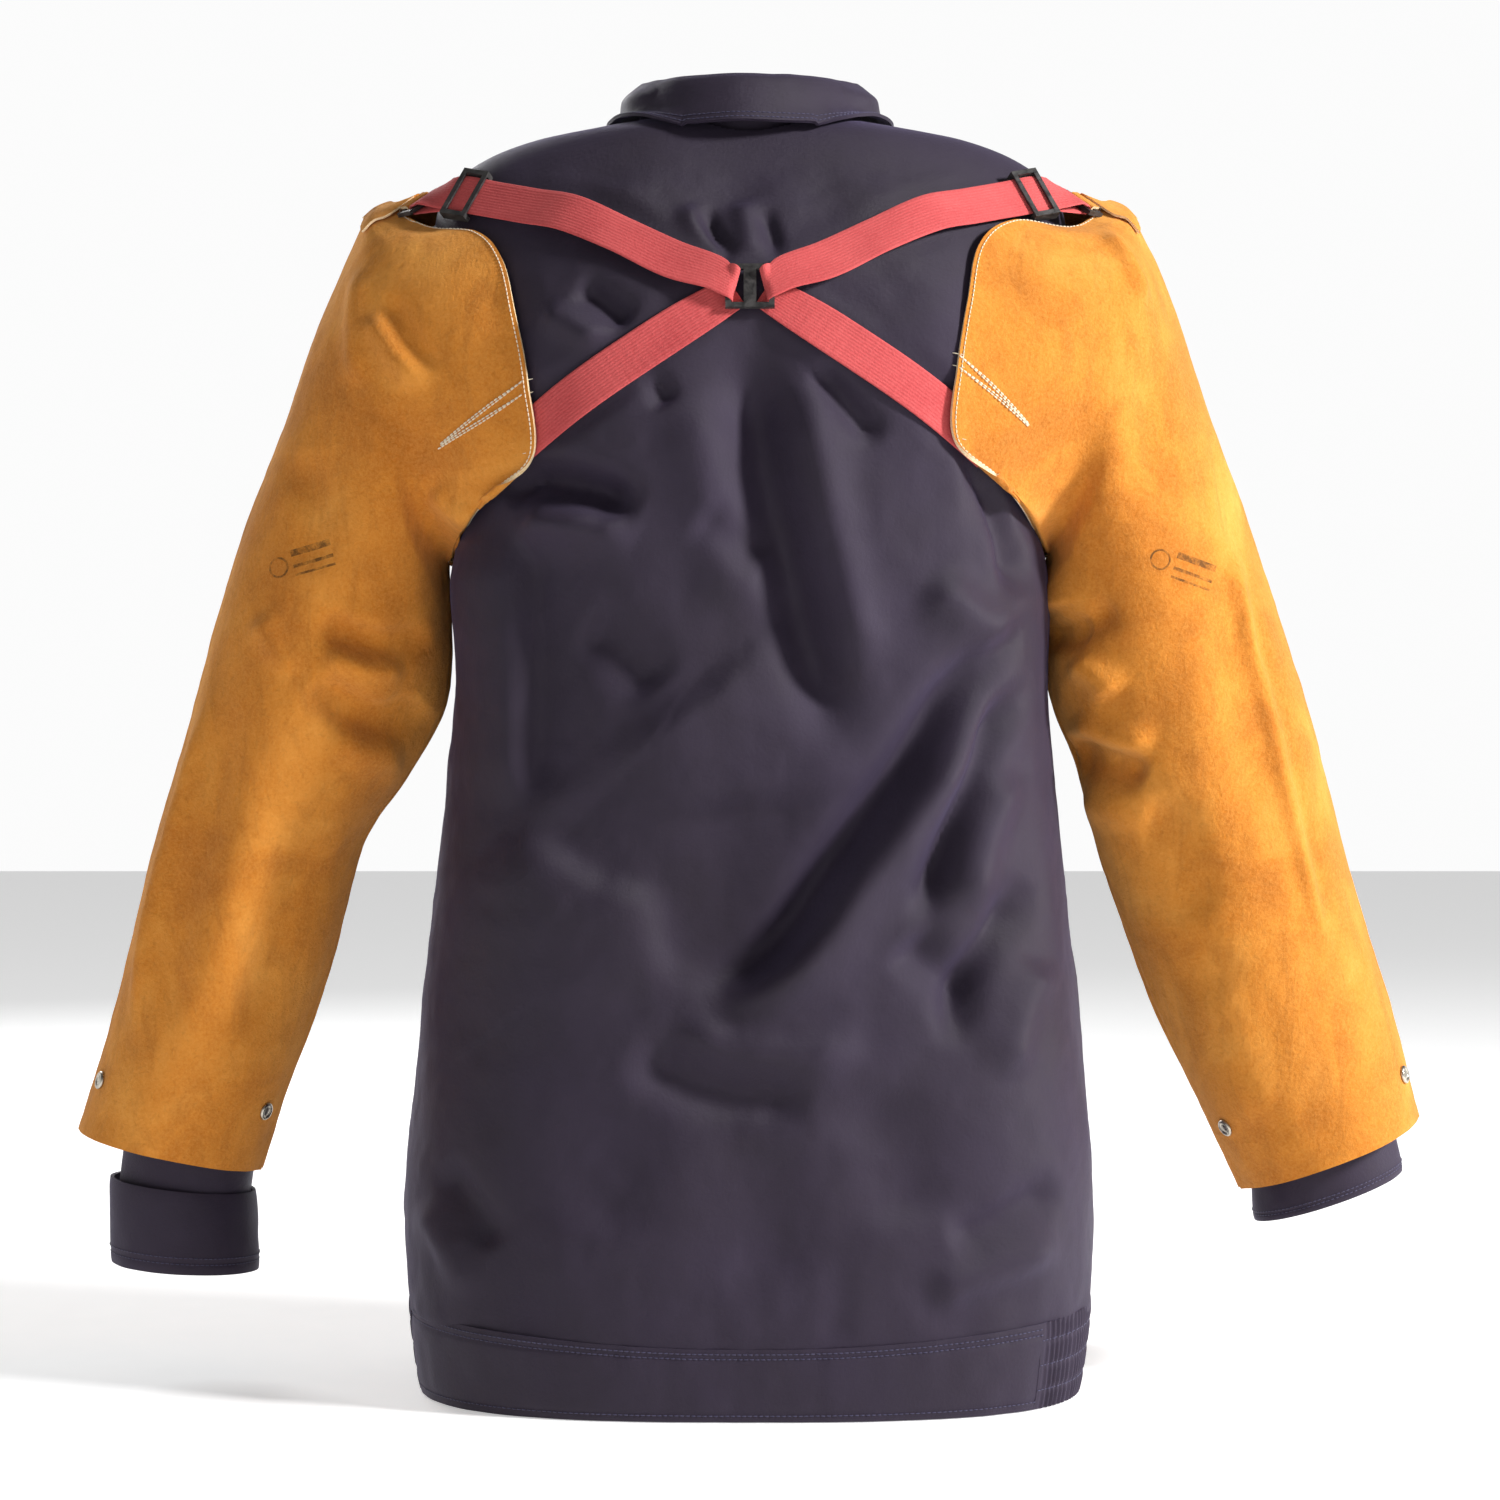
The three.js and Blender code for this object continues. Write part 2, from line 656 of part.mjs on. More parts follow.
// A lathe profile turned about the normal at a point.
function turned(profilePoints, seat) {
  const lathe = new THREE.LatheGeometry(
    profilePoints.map(([r, h]) => new THREE.Vector2(r, h)),
    20,
  );
  const turn = new THREE.Quaternion().setFromUnitVectors(V(0, 1, 0), seat.normal);
  return solid(lathe.applyQuaternion(turn).translate(...seat.point.toArray()));
}

function snapCap(seat, postLength, withPost = true) {
  const { radius, cap, post } = SNAP;
  const dome = [
    [0, cap],
    [radius * 0.55, cap * 0.92],
    [radius * 0.9, cap * 0.55],
    [radius, 0.15],
    [radius * 0.95, 0],
  ];
  const foot = withPost ? [[post, 0], [post, -postLength], [0, -postLength]] : [[0, 0]];
  return geometryOf(turned([...dome, ...foot], seat));
}

function snapBack(seat, depth) {
  const { radius } = SNAP;
  const ring = [
    [0, -depth],
    [radius * 0.9, -depth],
    [radius * 0.9, -depth - 1],
    [radius * 0.5, -depth - 2.2],
    [0, -depth - 2.2],
  ];
  return geometryOf(turned(ring, seat));
}

// ---------- leather sleeves ----------
// The armhole edge as a ring that matches the arm rings point by point.
function armholeRing(sign) {
  const knots = ARMHOLE_EDGE.map(([, x, y, z, lift]) => (lift ? onTorso(V(x, y, z), lift).point : V(x, y, z)));
  const angles = [...ARMHOLE_EDGE.map(([angle]) => angle), 360];
  const curve = new THREE.CatmullRomCurve3(knots, true, "centripetal");
  return Array.from({ length: ARM_AROUND }, (_, j) => {
    const angle = (360 * j) / ARM_AROUND;
    let k = 0;
    while (angle >= angles[k + 1]) k++;
    const share = (k + (angle - angles[k]) / (angles[k + 1] - angles[k])) / knots.length;
    const p = curve.getPoint(share);
    return V(sign * p.x, p.y, p.z);
  });
}

function leatherRings(side) {
  const sign = side === "left" ? 1 : -1;
  const edge = armholeRing(sign);
  const arm = armRings(side, 0);
  const between = edge.map((p, j) => {
    const q = p.clone().lerp(arm[0][j], 0.5);
    const centre = V(sign * 150, 12, 600);
    return q.add(q.clone().sub(centre).setLength(5));
  });
  return [edge, between, ...arm];
}

const SNAP_SEATS = {
  left: [["outer_snap", 9, 2], ["inner_snap", 9, 12]],
  right: [["outer_snap", 9, 2], ["inner_snap", 9, 12]],
};
for (const side of ["left", "right"]) {
  const rings = leatherRings(side);
  const normals = ringNormals(rings);
  const holes = [];
  for (const [name, row, column] of SNAP_SEATS[side]) {
    const point = rings[row][column].clone().lerp(rings[row + 1][column], 0.45);
    const seat = { point: point.addScaledVector(normals[row][column], 0.5), normal: normals[row][column] };
    const hole = [[0, 4], [SNAP.hole, 4], [SNAP.hole, -6], [0, -6]];
    holes.push(turned(hole, seat));
    place(`${side}_${name}_cap`, "nickel", snapCap(seat, HIDE + 0.8));
    place(`${side}_${name}_socket`, "nickel", snapBack(seat, HIDE + 1.2));
  }
  for (const [half, [from, to]] of Object.entries(SLEEVE_HALVES)) {
    const wall = holes.reduce((rest, hole) => rest.subtract(hole), halfWall(rings, HIDE, from, to));
    place(`${side}_leather_sleeve_${half}`, "leather", geometryOf(largest(wall)));
  }
}

// ---------- harness ----------
// A point of a strap: where it is, the direction that its face looks and how wide it is there.
const onBack = (x, y, z, lift, width = STRAP.width) => ({ ...onTorso(V(x, y, z), lift), width });

// The straight run that the adjuster slides on, from beside the ring towards the joiner.
const RUN_OUT = onBack(170, 64, 706, 9);
const RUN_IN = onBack(104, 108, 689, 7.8);
const runAlong = RUN_IN.point.clone().sub(RUN_OUT.point).normalize();
const runUp = onBack(140, 86, 700, 0).normal;
runUp.addScaledVector(runAlong, -runUp.dot(runAlong)).normalize();
const onRun = (distance, lift = 0) => ({
  point: RUN_OUT.point.clone().addScaledVector(runAlong, distance).addScaledVector(runUp, lift),
  normal: runUp.clone(),
  width: STRAP.width,
});
const RUN_LENGTH = RUN_IN.point.distanceTo(RUN_OUT.point);
const ADJUSTER_AT = 9;

// The loop on the sleeve's cap, which the strap turns round.
const RING = { width: 33, reach: 6, bar: 2.8, thickness: 2.6 };
const ringAt = V(194.8, 46, 706.4);
const ringUp = V(0.4, 0.35, 0.85).normalize();
const ringAlong = RUN_OUT.point.clone().sub(ringAt);
ringAlong.addScaledVector(ringUp, -ringAlong.dot(ringUp)).normalize();

const ringAcross = ringUp.clone().cross(ringAlong);
// A point beside the ring: along towards the joiner, then up off the shoulder.
const atRing = (along, up, width = STRAP.width) => ({
  point: ringAt.clone().addScaledVector(ringAlong, along).addScaledVector(ringUp, up),
  across: ringAcross,
  width,
});
const barAt = RING.reach - RING.bar / 2;

const UPPER_STRAP = [
  onBack(8, 141, 646, 8.4, 18),
  onBack(22, 141, 654, 7.6, 21),
  onBack(44, 137, 663, 6),
  onBack(74, 126, 678, 6.8),
  onRun(RUN_LENGTH),
  onRun(RUN_LENGTH * 0.66),
  onRun(RUN_LENGTH * 0.33),
  onRun(0),
  atRing(barAt + 5, 3.4),
  atRing(barAt + 0.8, 2.6),
  atRing(barAt - 1.3, 2.5),
  atRing(barAt - 2.6, 1.3),
  atRing(barAt - 2.6, -1.3),
  atRing(barAt - 1.3, -2.5),
  atRing(barAt + 0.8, -2.6),
  onRun(-6, -2.9),
  onRun(ADJUSTER_AT - ADJUSTER.bar / 2 - 0.5, -STRAP.thickness / 2 - ADJUSTER.room - 0.8),
];
const LOWER_STRAP = [
  onBack(141, 120, 553, 1.8),
  onBack(125, 128, 564, 1.8),
  onBack(105, 133, 578, 2),
  onBack(85, 138, 592, 2.2),
  onBack(62, 140, 607, 2.2),
  onBack(40, 142, 622, 2.2),
  onBack(22, 142, 634, 2, 21),
  onBack(8, 141, 643, 2, 18),
];

function strap(stations, sign) {
  const grid = stations.map(({ point, normal, across, width }, i) => {
    const ahead = stations[Math.min(i + 1, stations.length - 1)].point
      .clone()
      .sub(stations[Math.max(i - 1, 0)].point);
    const side = across ? across.clone() : ahead.cross(normal);
    side.setLength(width / 2);
    return [1, 0, -1].map((s) => {
      const p = point.clone().addScaledVector(side, s);
      return V(sign * p.x, p.y, p.z);
    });
  });
  return geometryOf(panel(grid, STRAP.thickness));
}

function frameAt(point, along, up, sign) {
  const flip = (v) => V(sign * v.x, v.y, v.z);
  const [a, u] = [flip(along).normalize(), flip(up).normalize()];
  return { at: flip(point), along: a, across: u.clone().cross(a), up: u };
}

// Two bars over the webbing and one under it, joined by the side rails.
function adjuster(frame) {
  const { length, width, bar, room, thickness } = ADJUSTER;
  const half = STRAP.thickness / 2 + room;
  const [reach, side] = [length / 2, width / 2];
  return join([
    framedBox(frame, [-reach, -side, half], [-reach + bar, side, half + thickness]),
    framedBox(frame, [reach - bar, -side, half], [reach, side, half + thickness]),
    framedBox(frame, [-bar / 2, -side, -half - thickness], [bar / 2, side, -half]),
    framedBox(frame, [-reach, -side, -half - thickness], [reach, -side + bar, half + thickness]),
    framedBox(frame, [-reach, side - bar, -half - thickness], [reach, side, half + thickness]),
  ]);
}

function capRing(frame) {
  const { width, reach, bar, thickness } = RING;
  const [side, half] = [width / 2, thickness / 2];
  const plate = framedBox(frame, [-reach, -side, -half], [reach, side, half]);
  return plate.subtract(framedBox(frame, [-reach + bar, -side + bar, -3], [reach - bar, side - bar, 3]));
}

// The hide tab that holds the ring: folded round its outer bar, then sewn down on the sleeve's cap.
function ringTab(side, sign) {
  const rings = leatherRings(side);
  const normals = ringNormals(rings);
  const onCap = (share, degrees) => {
    const turn = (degrees / 360) * ARM_AROUND;
    const [j, t] = [Math.floor(turn), turn % 1];
    const mix = (table, i) => table[i][j].clone().lerp(table[i][j + 1], t);
    const point = mix(rings, 0).lerp(mix(rings, 1), share);
    return point.addScaledVector(mix(normals, 0).lerp(mix(normals, 1), share), 2);
  };
  const fold = [
    [-barAt - 1.6, -2.6],
    [-barAt + 1.3, -2.6],
    [-barAt + 2.6, -1.3],
    [-barAt + 2.6, 1.3],
    [-barAt + 1.3, 2.6],
    [-barAt - 1, 2.8],
    [-barAt - 3.6, 3],
  ];
  const grid = fold.map(([along, up]) =>
    [10, 0, -10].map((t) => {
      const p = atRing(along, up).point.addScaledVector(ringAcross, t);
      return V(sign * p.x, p.y, p.z);
    }),
  );
  for (const share of [0.35, 0.6, 0.85]) grid.push([8, 17, 26].map((degrees) => onCap(share, degrees)));
  return geometryOf(panel(grid, 1.5));
}

for (const [side, sign] of [["left", 1], ["right", -1]]) {
  place(`${side}_ring_tab`, "leather", ringTab(side, sign));
  place(`${side}_strap_lower`, "webbing", strap(LOWER_STRAP, sign));
  place(`${side}_strap_upper`, "webbing", strap(UPPER_STRAP, sign));
  const seat = onRun(ADJUSTER_AT);
  place(`${side}_strap_adjuster`, "black_plastic", geometryOf(adjuster(frameAt(seat.point, runAlong, runUp, sign))));
  place(`${side}_cap_ring`, "black_plastic", geometryOf(capRing(frameAt(ringAt, ringAlong, ringUp, sign))));
}

// A ladder frame: a slot for each side's strap, between an end bar and the shared core.
function joiner() {
  const { halfWidth, halfHeight, bar, core, thickness } = JOINER;
  const seat = onBack(0, 141, JOINER.z, 5.2);
  const frame = frameAt(seat.point, V(1, 0, 0), seat.normal, 1);
  let plate = framedBox(frame, [-halfWidth, -halfHeight, -thickness / 2], [halfWidth, halfHeight, thickness / 2]);
  for (const sign of [1, -1]) {
    const sides = [core * sign, (halfWidth - bar) * sign].sort((p, q) => p - q);
    const reach = halfHeight - bar;
    plate = plate.subtract(framedBox(frame, [sides[0], -reach, -5], [sides[1], reach, 5]));
  }
  return plate;
}
place("harness_joiner", "black_plastic", geometryOf(joiner()));

export default jacket;
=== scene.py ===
import math

import bpy
import numpy as np
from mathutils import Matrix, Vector


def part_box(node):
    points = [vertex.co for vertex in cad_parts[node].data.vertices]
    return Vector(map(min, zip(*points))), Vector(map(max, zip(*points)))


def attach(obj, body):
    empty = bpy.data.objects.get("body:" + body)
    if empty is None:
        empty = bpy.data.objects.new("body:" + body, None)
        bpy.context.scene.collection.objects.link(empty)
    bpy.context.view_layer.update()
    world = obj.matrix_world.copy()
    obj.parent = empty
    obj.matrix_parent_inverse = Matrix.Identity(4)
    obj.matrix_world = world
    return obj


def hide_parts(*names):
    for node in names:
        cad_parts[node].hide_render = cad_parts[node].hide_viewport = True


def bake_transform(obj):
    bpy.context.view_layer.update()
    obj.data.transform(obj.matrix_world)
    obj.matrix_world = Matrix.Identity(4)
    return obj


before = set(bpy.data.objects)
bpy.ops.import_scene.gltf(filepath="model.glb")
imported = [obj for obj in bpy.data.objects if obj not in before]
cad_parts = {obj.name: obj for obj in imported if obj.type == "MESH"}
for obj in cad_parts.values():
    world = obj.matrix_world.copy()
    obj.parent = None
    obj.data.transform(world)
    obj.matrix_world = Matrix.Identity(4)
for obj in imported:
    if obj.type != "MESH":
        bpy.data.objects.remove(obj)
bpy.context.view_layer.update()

MM = 0.001

# ---------- driving dimensions, in millimetres ----------
# Height, half width, depth of the front and depth of the back.
TORSO = [
    [0, 197, 144, 143], [60, 204, 142, 146], [130, 205, 140, 145], [230, 196, 137, 138],
    [350, 184, 133, 135], [450, 173, 130, 140], [540, 169, 127, 146], [600, 182, 125.1, 143.8],
    [625, 187, 124, 139.5], [660, 190, 105, 128], [695, 190, 82, 106], [718, 182, 66, 90],
    [734, 162, 56, 80], [745, 134, 49, 72], [752, 100, 43, 64], [757, 72, 36, 54],
]
SQUARENESS = 2.8  # exponent of the torso's section
HEM_HEIGHT = 41.5
ZIP_CLOSED_TO = 588
NECK_Y = -6
NECK = (72, 78)  # half width and half depth of the cut
ARMHOLE = {"y": 11, "z": 625, "half_depth": 66, "half_height": 71}
# Each station of a leather sleeve: outer X and Z, inner X and Z.
SLEEVE_OUTLINE = {
    "left": [
        [234, 694, 182, 492], [258, 640, 181, 462], [279, 575, 181, 432], [307, 500, 187, 402],
        [332, 424, 209, 364], [352, 351, 235, 325], [370, 278, 256, 258], [388, 211, 277, 193],
        [408, 150, 297, 125],
    ],
    "right": [
        [232, 694, 180, 500], [256, 640, 179, 470], [280, 575, 179, 444], [306, 500, 182, 412],
        [330, 424, 198, 372], [350, 351, 213, 315], [370, 278, 238, 250], [391, 211, 266, 185],
        [408, 158, 300, 114],
    ],
}
# Half depth and centre Y of those stations.
SLEEVE_DEPTH = [[86, 14], [79, 13], [73, 12], [68, 10], [65, 7], [63, 2], [61, -4], [59, -9], [57, -14]]
# The armhole edge of the leather: angle round the arm, then a point near the shoulder and its lift.
ARMHOLE_EDGE = [
    [0, 207, 8, 711, 0], [12, 204, 28, 708, 0], [24, 206, 45, 700, 0], [36, 187, 69, 688, 0],
    [50, 160, 90, 684, 5.5], [69, 142, 106, 664, 5.5], [90, 135, 124, 630, 5.5],
    [112, 129, 133, 590, 5.5], [132, 127, 132, 549, 5.5], [156, 152, 108, 528, 9],
    [180, 175, 25, 507, 0], [206, 160, -85, 518, 9], [235, 146, -100, 545, 5],
    [270, 140, -100, 602, 5], [303, 148, -78, 660, 5], [335, 182, -36, 708, 0],
]
JACKET_SLEEVE_INSET = 15  # how far the drill sleeve is drawn inside the leather
JACKET_CUFF = {
    "left": [[391, 122, 302, 112], [390, 70, 300, 64]],
    "right": [[392, 156, 307, 122], [399, 126, 308, 94]],
}
CUFF_DEPTH = (46, -15)
STRAP_WIDTH = 25
SIDES = {"left": 1, "right": -1}
BODY_FOLD_STRENGTH = 1.3
SLEEVE_FOLD_STRENGTH = 1.5
DEEPEST_VALLEY = 9.5  # deeper valleys in the leather would show the drill
FLOOR_GLOW = 0.42
LAMPS_AIM_AT = (0, 0, 0.4)


# ---------- numbers ----------
def unit(vectors, least=1e-12):
    return vectors / np.maximum(np.linalg.norm(vectors, axis=-1, keepdims=True), least)


def run_along(points):
    """How far each point of a path is from its first one."""
    return np.concatenate([[0], np.cumsum(np.linalg.norm(np.diff(points, axis=0), axis=1))])


def profile(table, at):
    """Each further column of a table at values of its first column, smooth between the rows."""
    rows = np.asarray(table, float)
    key = rows[:, 0]
    low = np.maximum(np.arange(len(rows)) - 1, 0)
    high = np.minimum(np.arange(len(rows)) + 1, len(rows) - 1)
    slopes = (rows[high, 1:] - rows[low, 1:]) / (key[high] - key[low])[:, None]
    at = np.asarray(at, float)
    i = np.clip(np.searchsorted(key, at, side="right") - 1, 0, len(key) - 2)
    step = (key[i + 1] - key[i])[..., None]
    t = (at[..., None] - key[i][..., None]) / step
    return (
        rows[i, 1:] * (2 * t**3 - 3 * t**2 + 1)
        + rows[i + 1, 1:] * (3 * t**2 - 2 * t**3)
        + step * slopes[i] * (t**3 - 2 * t**2 + t)
        + step * slopes[i + 1] * (t**3 - t**2)
    )


def smooth_path(knots, count):
    """Points along a smooth line through the knots, evenly spread."""
    knots = np.asarray(knots, float)
    run = run_along(knots)
    return profile(np.column_stack([run, knots]), np.linspace(0, run[-1], count))


def ramp(value, low, high):
    """0 below low, 1 above high, smooth between."""
    t = np.clip((value - low) / (high - low), 0, 1)
    return t * t * (3 - 2 * t)


def noise(p, size, seed):
    """Smooth value noise from -1 to 1, with features about size across."""
    q = np.asarray(p) / size + 17.31 * seed
    cell = np.floor(q).astype(np.int64)
    f = q - cell
    f = f * f * (3 - 2 * f)
    total = 0
    for corner in np.ndindex(2, 2, 2):
        h = (cell + corner) @ np.array([73856093, 19349663, 83492791]) + seed * 26544357
        h = (h ^ (h >> 13)) * 1274126177
        value = ((h ^ (h >> 16)) & 0xFFFF) / 32768 - 1
        weight = np.prod(np.where(corner, f, 1 - f), axis=-1)
        total = total + value * weight
    return total


# ---------- the torso's surface ----------
def torso_point(angle, z):
    """A point of the torso at an angle round it and a height, in millimetres."""
    half_width, front, back = np.moveaxis(profile(TORSO, z), -1, 0)
    c, s = np.cos(angle), np.sin(angle)
    depth = np.where(s > 0, back, front)
    reach = (np.abs(c) / half_width) ** SQUARENESS + (np.abs(s) / depth) ** SQUARENESS
    r = reach ** (-1 / SQUARENESS)
    return np.stack([r * c, r * s, z + 0 * r], axis=-1)


def outside(p):
    """How far outside the torso a point is: 0 on its surface, below 0 inside."""
    half_width, front, back = np.moveaxis(profile(TORSO, np.minimum(p[..., 2], TORSO[-1][0])), -1, 0)
    depth = np.where(p[..., 1] > 0, back, front)
    reach = (np.abs(p[..., 0]) / half_width) ** SQUARENESS + (np.abs(p[..., 1]) / depth) ** SQUARENESS
    return reach ** (1 / SQUARENESS) - 1


def outward(p):
    """The way out of the torso at a point, not of unit length."""
    steps = 0.5 * np.eye(3)
    return np.stack([outside(p + d) - outside(p - d) for d in steps], axis=-1)


def on_torso(p, lift):
    """The nearest points of the torso, lifted off it, and the normals there."""
    q = np.asarray(p, float)
    for _ in range(8):
        slope = outward(q)
        q = q - slope * (outside(q) / (slope**2).sum(-1))[..., None]
    normal = unit(outward(q))
    return q + normal * np.asarray(lift)[..., None], normal


# ---------- meshes ----------
def grid_faces(rows, columns, keep=None, closed=False):
    """The quads of a grid of points, or of the cells of it that are kept."""
    i, j = np.meshgrid(np.arange(rows - 1), np.arange(columns if closed else columns - 1), indexing="ij")
    k = (j + 1) % columns
    faces = np.stack([i * columns + j, i * columns + k, (i + 1) * columns + k, (i + 1) * columns + j], -1)
    return faces[keep] if keep is not None else faces.reshape(-1, 4)


def face_normals(points, faces):
    a, b, c, d = (points[faces[:, k]] for k in range(4))
    return np.cross(c - a, d - b)


def point_normals(points, faces):
    out = np.zeros_like(points)
    across = face_normals(points, faces)
    for k in range(4):
        np.add.at(out, faces[:, k], across)
    return unit(out)


def grid_normals(grid, closed=False):
    """The normals of a grid of points, which look outward when its columns run anticlockwise going up."""
    along = np.gradient(grid, axis=0)
    across = np.roll(grid, -1, 1) - np.roll(grid, 1, 1) if closed else np.gradient(grid, axis=1)
    return unit(np.cross(across, along))


def shell(points, faces, thickness):
    """A closed sheet: the faces, the same faces moved inward, and the rim between them, which comes last."""
    used, faces = np.unique(faces, return_inverse=True)
    points, faces = points[used], faces.reshape(-1, 4)
    count = len(points)
    inner = points - point_normals(points, faces) * thickness
    a, b = faces.ravel(), np.roll(faces, -1, axis=1).ravel()
    border = ~np.isin(a * count + b, b * count + a)
    a, b = a[border], b[border]
    rim = np.stack([b, a, a + count, b + count], axis=-1)
    return np.concatenate([points, inner]), np.concatenate([faces, faces[:, ::-1] + count, rim]), len(rim)


def make(name, points, faces, materials, slot, body="jacket", rim=0, crease=40, replaces=()):
    """A piece from points in millimetres. Its last rim faces take the second material."""
    mesh = bpy.data.meshes.new(name)
    faces = faces.tolist() if isinstance(faces, np.ndarray) else faces
    mesh.from_pydata((np.asarray(points) * MM).tolist(), [], faces)
    for material in materials if isinstance(materials, (list, tuple)) else [materials]:
        mesh.materials.append(material)
    if rim:
        index = np.zeros(len(mesh.polygons), np.int32)
        index[-rim:] = 1
        mesh.polygons.foreach_set("material_index", index)
    mesh.shade_smooth()
    mesh.set_sharp_from_angle(angle=math.radians(crease))
    piece = bpy.data.objects.new(name, mesh)
    bpy.context.scene.collection.objects.link(piece)
    if body:
        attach(piece, body)
    if replaces:
        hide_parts(*([replaces] if isinstance(replaces, str) else replaces))
    return piece


def sheet_piece(name, grid, thickness, materials, slot, keep=None, **more):
    """A sheet of cloth or hide on a grid of points in millimetres."""
    faces = grid_faces(*grid.shape[:2], keep)
    points, faces, rim = shell(grid.reshape(-1, 3), faces, thickness)
    two = isinstance(materials, (list, tuple))
    piece = make(name, points, faces, materials, slot, rim=rim if two else 0, **more)
    return piece


def stitches(name, lines, material, slot, body="jacket", pitch=3.6, length=2.9, radius=0.34):
    """Rows of sewn stitches. Each line is its points and the surface's normals there, in millimetres."""
    around, rings = 6, np.array([[-1, 0.15], [-0.8, 0.8], [-0.3, 1.1], [0.3, 1.1], [0.8, 0.8], [1, 0.15]])
    turn = 2 * np.pi * np.arange(around) / around
    seats = []
    for points, normals in lines:
        run = run_along(points)
        at = np.arange(pitch / 2, run[-1], pitch)

        def sample(values, where):
            return np.stack([np.interp(where, run, values[:, k]) for k in range(3)], -1)

        ahead = unit(sample(points, at + 1) - sample(points, at - 1), 1e-9)
        up = sample(normals, at)
        up = unit(up - ahead * (up * ahead).sum(1, keepdims=True))
        seats.append(np.stack([sample(points, at), ahead, np.cross(up, ahead), up], 1))
    seats = np.concatenate(seats)
    shape = np.array(
        [[x * length / 2, radius * w * np.cos(a), radius * (w * np.sin(a) + w * 0.9 - 0.45)]
         for x, w in rings for a in turn]
    )
    points = seats[:, None, 0] + np.einsum("vk,skc->svc", shape, seats[:, 1:])
    quads = grid_faces(len(rings), around, closed=True)
    ends = np.array([[5, 4, 1, 0], [4, 3, 2, 1], [30, 31, 34, 35], [31, 32, 33, 34]])
    one = np.concatenate([quads, ends])
    faces = one[None] + (len(shape) * np.arange(len(seats)))[:, None, None]
    return make(name, points.reshape(-1, 3), faces.reshape(-1, 4), material, slot, body, crease=80)


def navy_stitches(name, lines, body="jacket", pitch=3.0, length=2.4, radius=0.25):
    stitches(name, lines, NAVY_THREAD, "drill", body, pitch, length, radius)


def seam_lines(grid, rows=(), columns=(), part=slice(None), lift=0.1):
    """Lines just off a sheet, along some of its rows and columns, with the normals there."""
    face = grid_normals(grid)
    lines = [(grid[k] + face[k] * lift, face[k]) for k in rows]
    return lines + [(grid[part, k] + face[part, k] * lift, face[part, k]) for k in columns]


def lathe(name, outline, seat, normal, material, slot, body="jacket", around=40, **more):
    """A turned piece: radius and height pairs about the normal at a seat."""
    turn = 2 * np.pi * np.arange(around) / around
    basis = np.array(Vector(normal).to_track_quat("Z", "Y").to_matrix())
    local = np.array([[[r * np.cos(a), r * np.sin(a), h] for a in turn] for r, h in outline])
    points = local.reshape(-1, 3) @ basis.T + seat
    return make(name, points, grid_faces(len(outline), around, closed=True), material, slot, body, **more)


# ---------- materials ----------
def srgb(r, g, b):
    """A linear colour from display values out of 255."""
    return tuple(((c / 255 + 0.055) / 1.055) ** 2.4 if c > 10 else c / 255 / 12.92 for c in (r, g, b)) + (1,)


def add_node(tree, kind, inputs=(), **settings):
    """A shader node with its settings, and with its inputs set or linked."""
    node = tree.nodes.new("ShaderNode" + kind)
    for name, value in settings.items():
        setattr(node, name, value)
    for socket, value in dict(inputs).items():
        if hasattr(value, "links"):
            tree.links.new(value, node.inputs[socket])
        else:
            node.inputs[socket].default_value = value
    return node


class Finish:
    """A material and the few node chains that the finishes here share."""

    def __init__(self, name, roughness, metallic=0.0, sheen=0.0, sheen_roughness=0.5, specular=0.5):
        self.material = bpy.data.materials.new(name)
        self.material.use_nodes = True
        self.tree = self.material.node_tree
        self.shader = self.tree.nodes["Principled BSDF"]
        for socket, value in (
            ("Roughness", roughness),
            ("Metallic", metallic),
            ("Sheen Weight", sheen),
            ("Sheen Roughness", sheen_roughness),
            ("Specular IOR Level", specular),
        ):
            self.shader.inputs[socket].default_value = value
        self.place = self.add("TexCoord").outputs["Object"]

    def add(self, kind, inputs=(), **settings):
        return add_node(self.tree, kind, inputs, **settings)

    def noise(self, scale, detail=4, roughness=0.55, distortion=0.0, stretch=None):
        place = self.place
        if stretch:
            place = self.add("Mapping", {"Scale": stretch, "Vector": place}).outputs["Vector"]
        look = {"Scale": scale, "Detail": detail, "Roughness": roughness, "Distortion": distortion}
        return self.add("TexNoise", {**look, "Vector": place}).outputs["Fac"]

    def wave(self, scale, turn):
        place = self.add("Mapping", {"Rotation": turn, "Vector": self.place}).outputs["Vector"]
        return self.add("TexWave", {"Scale": scale, "Vector": place}).outputs["Fac"]

    def math(self, operation, first, second=0.0):
        return self.add("Math", {0: first, 1: second}, operation=operation).outputs[0]

    def steps(self, value, *stops):
        node = self.add("ValToRGB", {"Fac": value})
        elements = node.color_ramp.elements
        while len(elements) < len(stops):
            elements.new(0.5)
        for element, (at, colour) in zip(elements, stops):
            element.position = at
            element.color = colour
        return node.outputs["Color"]

    def grey(self, value, low, high, dark=0.0, light=1.0):
        limits = {"From Min": low, "From Max": high, "To Min": dark, "To Max": light}
        return self.add("MapRange", {**limits, "Value": value}).outputs["Result"]

    def mix(self, share, first, second):
        return self.add("Mix", {0: share, 6: first, 7: second}, data_type="RGBA").outputs[2]

    def bump(self, *layers):
        """Bump from pairs of a height and its distance in metres."""
        inputs = {"Strength": 1}
        for height, distance in layers:
            inputs.update(Height=height, Distance=distance)
            inputs["Normal"] = self.add("Bump", inputs).outputs["Normal"]
        self.tree.links.new(inputs["Normal"], self.shader.inputs["Normal"])

    def done(self, colour, roughness=None):
        self.tree.links.new(colour, self.shader.inputs["Base Color"])
        if roughness is not None:
            self.tree.links.new(roughness, self.shader.inputs["Roughness"])
        return self.material


